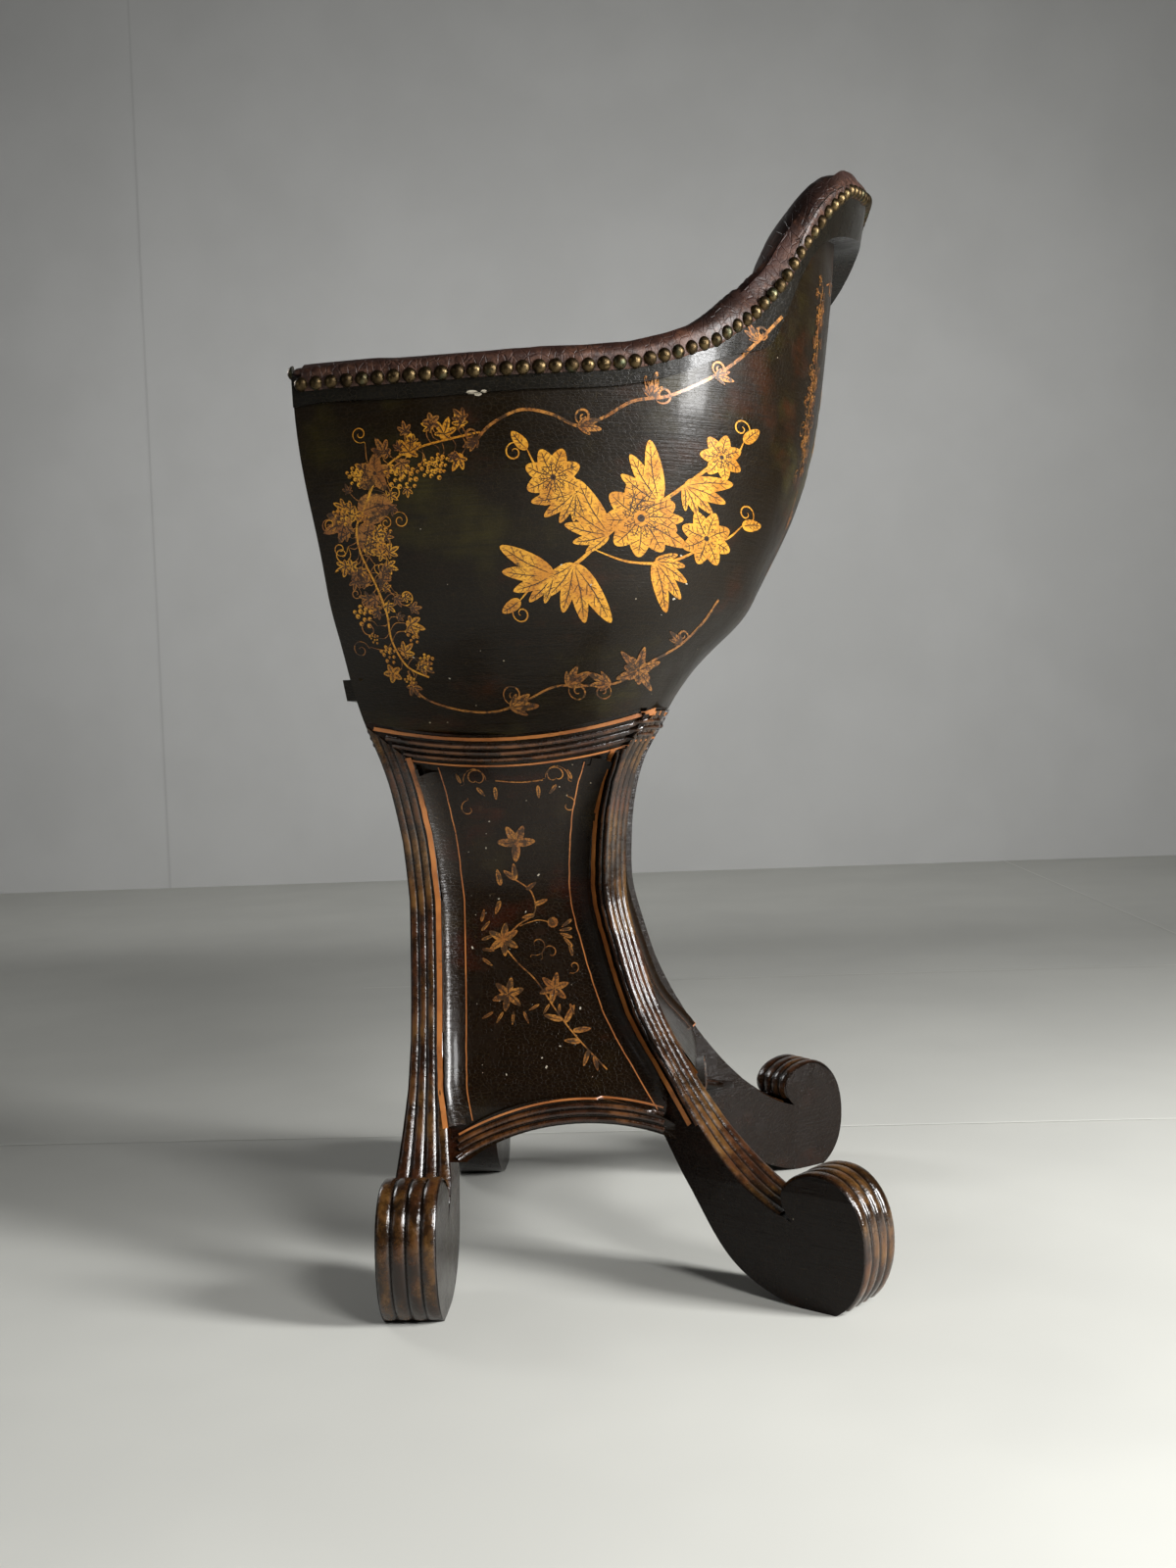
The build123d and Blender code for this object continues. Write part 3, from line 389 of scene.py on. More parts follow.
def mark_rubbed(piece):
    """Writes how near each point is to the nails, where the hide is rubbed pale."""
    values = [1 - eased(nail_spots.find(v.co)[2] / MM, 6, 15) for v in piece.data.vertices]
    layer = piece.data.attributes.new("rubbed", "FLOAT", "POINT")
    layer.data.foreach_set("value", values)


def roll_push(co, normal):
    """Fuller where the arms turn up into the crest, drawn thin over the crest, and held down by the nails."""
    back = co.y / MM
    full = 15 * math.exp(-((back - BEND) / (33 if back < BEND else 14)) ** 2)
    full *= max(0.0, 0.66 * normal.z - 0.75 * normal.y) ** 0.7
    full += math.exp(-((back + 20) / 60) ** 2)
    thin = -2.6 / (1 + math.exp(-(back - CREST) / 6))
    swell = noise.noise(co * 20) * 0.7 + noise.noise(co * 60) * 0.22
    free = eased(nail_spots.find(co)[2] / MM, *NAIL_REACH)
    return ((swell + full) * free + thin) * MM + crease(co, 40, 0.8, 0.6)


def lining_push(co, normal):
    """Low broad swells, drawn in by 3 mm under the crest."""
    return (noise.noise(co * 14) * 1.6 - 3 * eased(co.z / MM, 740, 790)) * MM + crease(co, 90, 0.7)


roll_hide = hide("roll_hide", "1d0d07", "33170c", "5a3828", wear=0.55, rough=0.46)
roll = stuffed("rim_roll", "leather_roll", roll_hide, 2.8, roll_push)
mark_rubbed(roll)
inner_skin = stuffed("inside_lining", "leather_lining", hide("lining_hide", wear=0.3), 4.5, lining_push)


def tree_of(*names):
    """What rays meet: the faces of some CAD nodes together."""
    points, faces = [], []
    for name in names:
        base, piece = len(points), nodes[name]
        points += [piece.matrix_world @ v.co for v in piece.data.vertices]
        faces += [[base + i for i in face.vertices] for face in piece.data.polygons]
    return BVHTree.FromPolygons(points, faces)


def rounded(points, step):
    """A smooth path through points, in steps of that length."""
    rows = [points[0], *points, points[-1]]
    path = []
    for a, b, c, d in zip(rows[:-3], rows[1:-2], rows[2:-1], rows[3:]):
        count = max(2, int(math.dist(b, c) / step))
        for i in range(count):
            t = i / count
            path.append(tuple(
                0.5 * (2 * q + (r - p) * t + (2 * p - 5 * q + 4 * r - s) * t * t
                       + (3 * q - p - 3 * r + s) * t ** 3)
                for p, q, r, s in zip(a, b, c, d)))
    path.append(tuple(points[-1]))
    return path


def grid_through(bm, rows):
    """A grid of faces, moved onto rows of places."""
    made = bmesh.ops.create_grid(bm, x_segments=len(rows[0]) - 1, y_segments=len(rows) - 1, size=1)["verts"]
    for vert, place in zip(made, (place for row in rows for place in row)):
        vert.co = place
    return made


EDGE_ACROSS = (-4.4, -3.8, -2, 0, 2, 4, 6, 8, 10, 12, 14)   # from under the nails up under the roll, mm
HIDE_THICK = 0.8
CAST_FROM, CAST_REACH = 14, 26  # rays start this far out from the nails and reach this far, mm
BARE = -9                       # the height that stands for no hit, mm


def leather_edge():
    """The edge of the roll's hide, which comes down over the rail and is nailed through."""
    under = tree_of(*RAILS)
    over = BVHTree.FromObject(roll, bpy.context.evaluated_depsgraph_get())
    path = rounded([(*(co / MM), *axis) for co, axis in nail_line], 3)
    rim = (0, len(EDGE_ACROSS) - 1)
    rows = []
    for i, each in enumerate(path):
        co, out = Vector(each[:3]) * MM, Vector(each[3:]).normalized()
        along = Vector(path[min(i + 1, len(path) - 1)][:3]) - Vector(path[max(i - 1, 0)][:3])
        upward = along.cross(out).normalized()
        if upward.z < 0:
            upward = -upward
        heights = []
        for across in EDGE_ACROSS:
            start = co + upward * across * MM + out * CAST_FROM * MM
            hits = [tree.ray_cast(start, -out, CAST_REACH * MM) for tree in (under, over)]
            far = [hit[3] for hit in hits if hit[0]]
            heights.append(CAST_FROM - min(far) / MM if far else BARE)
        # Drawn tight over the hollow between rail and roll
        tight = [max([h] + [heights[a] + (heights[b] - heights[a]) * (j - a) / (b - a)
                            for a in range(1, j) for b in range(j + 1, len(EDGE_ACROSS))])
                 for j, h in enumerate(heights)]
        wave = noise.noise(co * 130) * 0.5
        rows.append([co + (upward * (across + (wave if j < 2 else 0))
                           + out * (high + (0.05 if j in rim else HIDE_THICK))) * MM
                     for j, (across, high) in enumerate(zip(EDGE_ACROSS, tight))])
    bm = bmesh.new()
    made = grid_through(bm, rows)
    bmesh.ops.smooth_vert(bm, verts=[v for i, v in enumerate(made) if i % len(EDGE_ACROSS) > 1], factor=0.5,
                          use_axis_x=True, use_axis_y=True, use_axis_z=True)
    for face in bm.faces:
        face.normal_update()
        nearest = nail_spots.find(face.calc_center_median())[1]
        if face.normal.dot(nail_line[nearest][1]) < 0:
            face.normal_flip()
    piece = as_piece(bm, "leather_edge", roll_hide)
    mark_rubbed(piece)
    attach(piece, "root")


leather_edge()


# ---- Seat pad ----
# One tight pad of the same hide over horsehair on webbing: it puckers where it is drawn in at its edge,
# and sinks a little in the middle, where people have sat.
SEAT_MIDDLE = -0.03         # along the depth, m
SEAT_HALF = (0.20, 0.15)    # half its width and depth, m


def pad_push(co, normal):
    """2.5 mm of sag in the middle, and 34 puckers round the edge."""
    reach = min(1.0, math.hypot(co.x / SEAT_HALF[0], (co.y - SEAT_MIDDLE) / SEAT_HALF[1]))
    sag = -2.5 * (1 - reach) if normal.z > 0.4 else 0
    angle = math.atan2(co.y - SEAT_MIDDLE, co.x)
    pucker = math.sin(angle * 34 + noise.noise(co * 20) * 3) * 0.9 * max(0.0, reach - 0.6) / 0.4
    return (sag + pucker + noise.noise(co * 16) * 1.4) * MM + crease(co, 60, 0.8)


seat_hide = hide("seat_hide", "3c1b12", "5f2d20", "8f6253", wear=0.6, rough=0.40)
seat = stuffed("seat_pad", "leather_seat", seat_hide, 4, pad_push)


# ---- Reeded legs and scroll feet ----
# Four half-round reeds were cut side by side down the face of each leg and round its scroll. Their
# gold is rubbed to copper brown on the crests, and the grooves are black; the copper kept to the crests
# is partly a painted highlight, and the black in the grooves partly painted shade.
REEDS = 4
REED_STEPS = 8              # columns of faces across a reed
REED_DEPTH = 2.4            # from groove to crest, mm
REED_SUNK = 0.7             # the grooves lie this far under the leg's face, mm
HALF_FACE = 21.5            # half the width of the face round a scroll, mm
LEG_TOP, SCROLL_TOP, SCROLL_NECK = 432, 104, 62     # heights, mm
HEART_BACK, HEART_UP = 25, 54                       # a scroll's middle, in from its reach and up, mm
THICKEST = 0.09             # no leg is thicker than this, m


def rubbed_gilt_and_painted_light(name, gilt="7a5526", copper="552e14"):
    """Reads 'crest', 1 on top of a reed and 0 in the groove: dull gold above, partly a painted highlight, and
    glossy black below, partly painted shade.
    """
    made, n, here = started(name)
    crest = n("Attribute", "Fac", attribute_name="crest")
    worn = n("TexNoise", Vector=here, Scale=per(26), Detail=5, Roughness=0.7)
    cloud = n("TexNoise", Vector=here, Scale=per(50), Detail=3, Roughness=0.55)
    share = n("MapRange", **SMOOTH, Value=cloud, From_Min=0.38, From_Max=0.62)
    metal = n("Mix", **COLOURS, Factor_Float=share, A_Color=copper, B_Color=gilt)
    cloud = n("TexNoise", Vector=here, Scale=per(20), Detail=3, Roughness=0.55)
    groove = n("Mix", **COLOURS, Factor_Float=cloud, A_Color="0a0603", B_Color="1c0e06")
    # Gold only on the crests and black in the grooves: partly rubbed gilt, and partly a painted highlight on
    # the crests and painted shade in the grooves.
    raised = n("MapRange", **SMOOTH, Value=crest, From_Min=0.35, From_Max=0.95)
    left = n("MapRange", **SMOOTH, Value=worn, From_Min=0.36, From_Max=0.66, To_Min=0.05, To_Max=0.62)
    share = n("Math", operation="MULTIPLY", Value=raised, Value_001=left)
    colour = n("Mix", **COLOURS, Factor_Float=share, A_Color=groove, B_Color=metal)
    cloud = n("TexNoise", Vector=here, Scale=per(16), Detail=4, Roughness=0.6)
    blotch = n("MapRange", **SMOOTH, Value=cloud, From_Min=0.50, From_Max=0.70, To_Max=0.7)
    colour = n("Mix", **COLOURS, Factor_Float=blotch, A_Color=colour, B_Color="120a05")
    lumps = n("TexNoise", Vector=here, Scale=per(12), Detail=4, Roughness=0.55)
    nicks = n("TexNoise", Vector=here, Scale=per(3), Detail=3, Roughness=0.55)
    bump = n("Bump", Height=nicks, Distance=0.22 * MM, Normal=n("Bump", Height=lumps, Distance=0.9 * MM))
    dull = n("MapRange", **SMOOTH, Value=worn, From_Min=0.3, From_Max=0.7, To_Min=0.16, To_Max=0.36)
    n("OutputMaterial", Surface=n("BsdfPrincipled", Base_Color=colour, Roughness=dull, Normal=bump,
                                  Specular_IOR_Level=0.4, Coat_Weight=0.35, Coat_Roughness=0.1))
    return made


reed_gilt = rubbed_gilt_and_painted_light("rubbed_gilt_reeds")


def reach_of(tree, start, way):
    """How far the solid goes from a point inside it."""
    hit = tree.ray_cast(start + way * THICKEST, -way, THICKEST)
    return (hit[0] - start).dot(way) if hit[0] else 0.0


def leg_stations(tree, base, splay, reach):
    """Points down a leg's face and round its scroll: place of the middle, way out, half width."""
    across = Vector((-splay.y, splay.x, 0))
    clear = 7 * MM
    middle, ahead, stations = 0.0, 0.4, []
    for z in [*range(SCROLL_TOP, LEG_TOP, 4), *range(SCROLL_TOP - 2, SCROLL_NECK, -2)]:
        if z == SCROLL_TOP - 2:
            stations.reverse()
            middle, ahead = 0.0, (stations[-1][0] - base).dot(splay) + clear
        start = base + across * middle + Vector((0, 0, z * MM)) + splay * ahead
        hit = tree.ray_cast(start, -splay)
        if not hit[0]:
            continue
        if z < SCROLL_TOP:
            ahead = (hit[0] - base).dot(splay) + clear
        inside = hit[0] - splay * 3 * MM
        plus, minus = reach_of(tree, inside, across), reach_of(tree, inside, -across)
        middle += (plus - minus) / 2
        stations.append((hit[0] + across * (plus - minus) / 2, hit[1], (plus + minus) / 2))
    heart = base + splay * (reach - HEART_BACK * MM) + Vector((0, 0, HEART_UP * MM))
    scroll = []
    for turn in range(160, -84, -5):
        way = splay * math.cos(math.radians(turn)) + Vector((0, 0, math.sin(math.radians(turn))))
        hit = tree.ray_cast(heart, way)
        scroll.append((hit[0], hit[1] if hit[1].dot(way) > 0 else -hit[1], HALF_FACE * MM))
    return stations, scroll, across


def reed_height(share):
    """0 in a groove to 1 on a crest, for a share from -1 to 1 across the face."""
    turn = (share + 1) / 2 * REEDS % 1
    return math.sqrt(max(0.0, 1 - (2 * turn - 1) ** 2))


def reeded(name, stations, across, mitre=None):
    """A skin of reeds over a run of stations, cut off at a mitre's plane."""
    bm = bmesh.new()
    crest = bm.verts.layers.float.new("crest")
    columns = REEDS * REED_STEPS
    shares = [2 * i / columns - 1 for i in range(columns + 1)]
    highs = [reed_height(min(0.9999, share)) for share in shares]
    rows = []
    for place, normal, half in stations:
        row = []
        for share, high in zip(shares, highs):
            lumps = noise.noise(place * 60 + across * share * 4) * 0.35
            depth = (REED_DEPTH * high - REED_SUNK + lumps) * half / HALF_FACE
            row.append(place + across * share * half + normal * depth)
        rows.append(row)
    for i, vert in enumerate(grid_through(bm, rows)):
        vert[crest] = highs[i % len(highs)]
    if mitre:
        cut = bm.verts[:] + bm.edges[:] + bm.faces[:]
        bmesh.ops.bisect_plane(bm, geom=cut, plane_co=mitre[0], plane_no=mitre[1], clear_outer=True)
    bmesh.ops.recalc_face_normals(bm, faces=bm.faces)
    bm.faces.ensure_lookup_table()
    some = bm.faces[len(bm.faces) // 2]
    near = min(stations, key=lambda station: (station[0] - some.calc_center_median()).length)
    if some.normal.dot(near[1]) < 0:
        bmesh.ops.reverse_faces(bm, faces=bm.faces)
    piece = as_piece(bm, name, reed_gilt)
    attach(piece, "root")


# Where each leg stands, the way it splays, how far its scroll reaches, and the mitre under the tub
LEGS = {"front": ((86, -160.5), 0, 146, (Vector((0, -0.1915, 0.4255)), Vector((0, 1, 1)).normalized())),
        "rear": ((77, -11), 54, 222, (Vector((0, 0.022, 0.4235)), Vector((0, -1, 1)).normalized()))}
for place, ((base_x, base_y), splay_turn, reach_mm, mitre) in LEGS.items():
    for side, sign in (("left", 1), ("right", -1)):
        turn_by = math.radians(splay_turn)
        out_way = Vector((sign * math.cos(turn_by), math.sin(turn_by), 0))
        faces_down, scroll_round, cross = leg_stations(
            tree_of(f"leg_{place}_{side}"), Vector((sign * base_x, base_y, 0)) * MM, out_way, reach_mm * MM)
        reeded(f"reeds_{place}_{side}", faces_down, cross, mitre)
        reeded(f"reeds_foot_{place}_{side}", scroll_round, cross)


# ---- Beads, painted lines and hollows of the pedestal ----
# Each side of the pedestal is framed by half-round beads that meet at the posts, with copper lines
# painted beside them. A hollow was cut down each border of the sunk panel.
class Canvas:
    """One side of the chair seen square on: u across and v up, in millimetres, u counted from shift."""

    def __init__(self, toward, names, shift=0):
        self.toward = Vector(toward)
        self.across = Vector((abs(self.toward.y), abs(self.toward.x), 0))
        self.tree = tree_of(*names)
        self.owners = [name for name in names for _ in nodes[name].data.polygons]
        self.shift = shift

    def cast(self, u, v):
        """What a ray straight in meets there."""
        start = (self.across * (u + self.shift) + Vector((0, 0, v))) * MM - self.toward * 0.6
        return self.tree.ray_cast(start, self.toward)

    def owner(self, u, v):
        """The name of the node that shows there."""
        index = self.cast(u, v)[2]
        return "" if index is None else self.owners[index]

    def spot(self, u, v, lift=0.0):
        """The surface's point there, raised by lift millimetres, and its outward normal."""
        place, normal, _, _ = self.cast(u, v)
        if place is None:
            return None
        if normal.dot(self.toward) > 0:
            normal = -normal
        return place + normal * lift * MM, normal


def strip(bm, canvas, path, profile, material=0):
    """Lays a moulding on a canvas: profile gives (place across, height) in millimetres."""
    crest = bm.verts.layers.float["crest"]
    spots = [spot for spot in (canvas.spot(u, v) for u, v in path) if spot]
    runs = []
    for i, (place, normal) in enumerate(spots):
        ahead = spots[min(i + 1, len(spots) - 1)][0] - spots[max(i - 1, 0)][0]
        side = ahead.cross(normal).normalized()
        row = []
        for offset, height in profile:
            wave = noise.noise((place + side * offset * MM) * 90) * 0.22
            row.append(place + (side * offset + normal * (height + wave)) * MM)
        if not runs or (row[0] - runs[-1][-1][0]).length > 0.02:
            runs.append([])
        runs[-1].append(row)
    highest = max(height for _, height in profile)
    for run in runs:
        if len(run) > 1:
            for i, vert in enumerate(grid_through(bm, run)):
                vert[crest] = max(0.0, profile[i % len(profile)][1] / highest)
                for face in vert.link_faces:
                    face.material_index = material


def settle(bm, canvas):
    """Turns every face outwards."""
    for face in bm.faces:
        face.normal_update()
        if face.normal.dot(canvas.toward) > 0:
            face.normal_flip()


def half_round(width, height, steps=6):
    """A bead's profile, its edges sunk 0.3 mm."""
    return [(-width / 2 * math.cos(math.pi * i / steps), height * math.sin(math.pi * i / steps) - 0.3)
            for i in range(steps + 1)]


def flat_line(width, height):
    """A painted line's profile."""
    return [(-width / 2, height), (width / 2, height)]


def copper_bronze():
    """Bronze powder in varnish: a warm satin copper, worn through to brown in small patches."""
    made, n, here = started("copper_bronze_paint")
    cloud = n("TexNoise", Vector=here, Scale=per(30), Detail=3, Roughness=0.55)
    share = n("MapRange", **SMOOTH, Value=cloud, From_Min=0.35, From_Max=0.65)
    colour = n("Mix", **COLOURS, Factor_Float=share, A_Color="8f5428", B_Color="b06f38")
    worn = n("TexNoise", Vector=here, Scale=per(9), Detail=5, Roughness=0.7)
    share = n("MapRange", **SMOOTH, Value=worn, From_Min=0.58, From_Max=0.74, To_Max=0.8)
    colour = n("Mix", **COLOURS, Factor_Float=share, A_Color=colour, B_Color="2a170c")
    n("OutputMaterial", Surface=n("BsdfPrincipled", Base_Color=colour, Roughness=0.38, Coat_Weight=0.3,
                                  Coat_Roughness=0.2, Normal=n("Bump", Height=worn, Distance=0.1 * MM)))
    return made


# The beads take the same gilt: the copper on their crests is partly a painted highlight, and the black at their
# feet partly painted shade.
bead_gilt = rubbed_gilt_and_painted_light("dark_rubbed_beads", "7a4a20", "4a2814")
copper = copper_bronze()
SIDES = {"side_left": ((-1, 0, 0), "left"), "side_right": ((1, 0, 0), "right"),
         "front": ((0, 1, 0), "front"), "back": ((0, -1, 0), "back")}
TOP_BEADS = (8.5, 13.5, 18.5)       # below the top rail's edge, mm
ARCH_BEADS = (3.0, 8.5, 13.5)       # above the arch, mm
# The hollow beside a post: (how far from the post, how high over the panel), mm
HOLLOW = ((0.1, 9.5), (1.2, 7.8), (2.8, 6.0), (5, 4.2), (8, 2.4), (12, 1.0), (16, 0.3), (21, 0.0))
BORDER_STEP = 6                     # between the points of a border, mm
SIDE_MIDDLE = -80                   # where a side's panel has its middle, mm


def first_change(canvas, fixed, values, wanted, along_v=True):
    """The first value at which the canvas shows one of the wanted nodes."""
    for value in values:
        owner = canvas.owner(fixed, value) if along_v else canvas.owner(value, fixed)
        if owner.startswith(wanted):
            return value
    return None


def fitted(points, lift):
    """A path of (u, v) with v moved, smoothed by a parabola through all its points."""
    us = [u for u, _ in points]
    middle, half = (max(us) + min(us)) / 2, (max(us) - min(us)) / 2
    xs = [(u - middle) / half for u in us]
    sums = [sum(x ** k for x in xs) for k in range(5)]
    rows = Matrix([[sums[i + j] for j in range(3)] for i in range(3)])
    right_side = Vector([sum(v * x ** i for x, (_, v) in zip(xs, points)) for i in range(3)])
    a, b, c = rows.inverted() @ right_side
    return [(middle + x * half, a + b * x + c * x * x + lift) for x in [i / 30 - 1 for i in range(61)]]


def beyond(a, b, count=1):
    """The point that lies on from b past a."""
    return a[0] + (a[0] - b[0]) * count, a[1] + (a[1] - b[1]) * count


def panel_border(pedestal, turn, is_side):
    """Points down the edge where the sunk panel meets a post, drawn on past both ends."""
    middle = SIDE_MIDDLE if is_side else 0
    border = []
    for v in range(388, 120, -BORDER_STEP):
        outward = [middle + turn * i * 0.5 for i in range(200)]
        u = first_change(pedestal, v, outward, ("leg_", "top", "arch"), False)
        if u is not None and pedestal.owner(u, v).startswith("leg_"):
            border.append((u, v))
    if len(border) < 4:
        return None
    for _ in range(2):
        border.insert(0, beyond(border[0], border[1]))
    while border[-1][1] > (118 if is_side else 150):
        border.append(beyond(border[-1], border[-2]))
    return border


for way, (toward, board) in SIDES.items():
    is_side = way.startswith("side")
    pedestal = Canvas(toward, LEG_NODES + [f"top_rail_{board}", f"arch_rail_{board}", f"panel_{board}"])
    panel_only = Canvas(toward, [f"panel_{board}"])
    bm = bmesh.new()
    bm.verts.layers.float.new("crest")
    down = [450 - 0.5 * i for i in range(120)]
    top = [(u, first_change(pedestal, u, down, ("top_rail", "leg_"))) for u in range(-230, 231, 6)]
    top = [(u, v) for u, v in top if v and v > 395]
    low_u, high_u = top[0][0], top[-1][0]
    for drop in TOP_BEADS:
        path = [(u, v) for u, v in fitted(top, -drop) if low_u + drop <= u <= high_u - drop]
        strip(bm, pedestal, path, half_round(4.6, 2.3))
    middle = SIDE_MIDDLE if is_side else 0
    arch = [(u, first_change(pedestal, u, range(60, 150), ("arch_rail",)))
            for u in range(middle - 110, middle + 111, 6)]
    arch = [(u, v) for u, v in arch if v][1:-1]
    for rise in ARCH_BEADS:
        strip(bm, pedestal, fitted(arch, rise), half_round(4.8, 2.2))
    strip(bm, pedestal, fitted(top, -3.2)[1:-1], flat_line(3.8, 0.35), 1)
    strip(bm, pedestal, fitted(top, -23.5)[6:-6], flat_line(1.8, 0.4), 1)
    strip(bm, pedestal, fitted(arch, 18.5), flat_line(1.6, 0.4), 1)
    borders = {turn: panel_border(pedestal, turn, is_side) for turn in (-1, 1)}
    borders = {turn: border for turn, border in borders.items() if border}
    for turn, border in borders.items():
        longer = [beyond(border[0], border[1], k) for k in (2, 1)] + border
        deep = 1.0 if is_side else 0.6
        spots = [[panel_only.spot(u - turn * away, v, deep * height + 0.05) for u, v in longer]
                 for away, height in HOLLOW]
        made = grid_through(bm, [[spot[0] if spot else Vector() for spot in row] for row in spots])
        for face in {face for vert in made for face in vert.link_faces}:
            face.material_index = 2
        missing = [vert for vert, spot in zip(made, (spot for row in spots for spot in row)) if not spot]
        bmesh.ops.delete(bm, geom=missing, context="VERTS")
    settle(bm, pedestal)
    piece = as_piece(bm, f"mouldings_{way}", bead_gilt, copper, panel_lacquer)
    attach(piece, "root")

    # The wide copper line down the border, over the last reed, two thin beads beside it, and a fine
    # line on the panel
    bm = bmesh.new()
    bm.verts.layers.float.new("crest")
    for turn, border in borders.items():
        if is_side and turn == 1:
            for offset in (7.4, 11.4):
                beside = rounded([(u + offset, v) for u, v in border], 4)
                strip(bm, pedestal, beside, half_round(3.4, 1.5), 1)
        for canvas, offset, profile in ((pedestal, 2.4, flat_line(4.0, 1.3)),
                                        (panel_only, -17.0, flat_line(0.9, 0.5))):
            strip(bm, canvas, rounded([(u + turn * offset, v) for u, v in border], 4), profile)
    settle(bm, pedestal)
    if bm.faces:
        piece = as_piece(bm, f"border_lines_{way}", copper, bead_gilt)
        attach(piece, "root")
    else:
        bm.free()


# ---- Gilt ornament ----
# Vines, flowers, scrolls and tendrils painted in gold size and bronze powder, then shaded and veined
# with fine brown lines. It is brightest on the tub and worn on the pedestal.
PAINT_LIFT = 0.22       # the lowest shape lies this far over the lacquer, mm
VEIN_LIFT = 0.12        # shading lines lie this far over their petal, mm
DOT_LIFT = (0.42, 0.5)  # dabs of gold, and dark ones on them, mm over the lacquer


def bronze_gold(name, light, middle, dark, streak=1.2, worn=0.2):
    """A warm satin gold in fine brush streaks, rubbed through to the lacquer in small patches."""
    made, n, here = started(name)
    tone = n("TexNoise", Vector=here, Scale=per(14), Detail=4, Roughness=0.6)
    share = n("MapRange", **SMOOTH, Value=tone, From_Min=0.34, From_Max=0.66)
    colour = n("Mix", **COLOURS, Factor_Float=share, A_Color=middle, B_Color=light)
    brushed = n("Mapping", Vector=here, Scale=(per(streak * 5), per(streak * 2.2), per(streak)))
    streaks = n("TexNoise", Vector=brushed, Scale=1, Detail=3, Roughness=0.65)
    share = n("MapRange", **SMOOTH, Value=streaks, From_Min=0.50, From_Max=0.66, To_Max=0.75)
    colour = n("Mix", **COLOURS, Factor_Float=share, A_Color=colour, B_Color=dark)
    cloud = n("TexNoise", Vector=here, Scale=per(8), Detail=4, Roughness=0.7)
    low = 0.66 - worn * 0.3
    share = n("MapRange", **SMOOTH, Value=cloud, From_Min=low, From_Max=low + 0.12, To_Max=0.85)
    colour = n("Mix", **COLOURS, Factor_Float=share, A_Color=colour, B_Color="1c150c")
    dull = n("MapRange", **SMOOTH, Value=tone, From_Min=0.3, From_Max=0.7, To_Min=0.34, To_Max=0.48)
    n("OutputMaterial", Surface=n("BsdfPrincipled", Base_Color=colour, Roughness=dull, Metallic=0.25,
                                  Coat_Weight=0.2, Coat_Roughness=0.2,
                                  Normal=n("Bump", Height=streaks, Distance=0.05 * MM)))
    return made


def thin_coat(name, size_mm, dark, light, rough):
    """A thin even coat, with a little change of tone."""
    made, n, here = started(name)
    cloud = n("TexNoise", Vector=here, Scale=per(size_mm), Detail=3, Roughness=0.55)
    colour = n("Mix", **COLOURS, Factor_Float=cloud, A_Color=dark, B_Color=light)
    n("OutputMaterial", Surface=n("BsdfPrincipled", Base_Color=colour, Roughness=rough))
    return made


bright_gold = bronze_gold("bronze_powder_gold", "d99c2c", "b9781f", "6a3d12")
worn_gold = bronze_gold("worn_bronze_gold", "a8702c", "8a5526", "3c2110", streak=1.0, worn=0.6)
shade = thin_coat("brown_shading_line", 10, "1d1108", "38200e", 0.4)
chalk = thin_coat("chalk_ground", 3, "8d8371", "bdb4a2", 0.85)


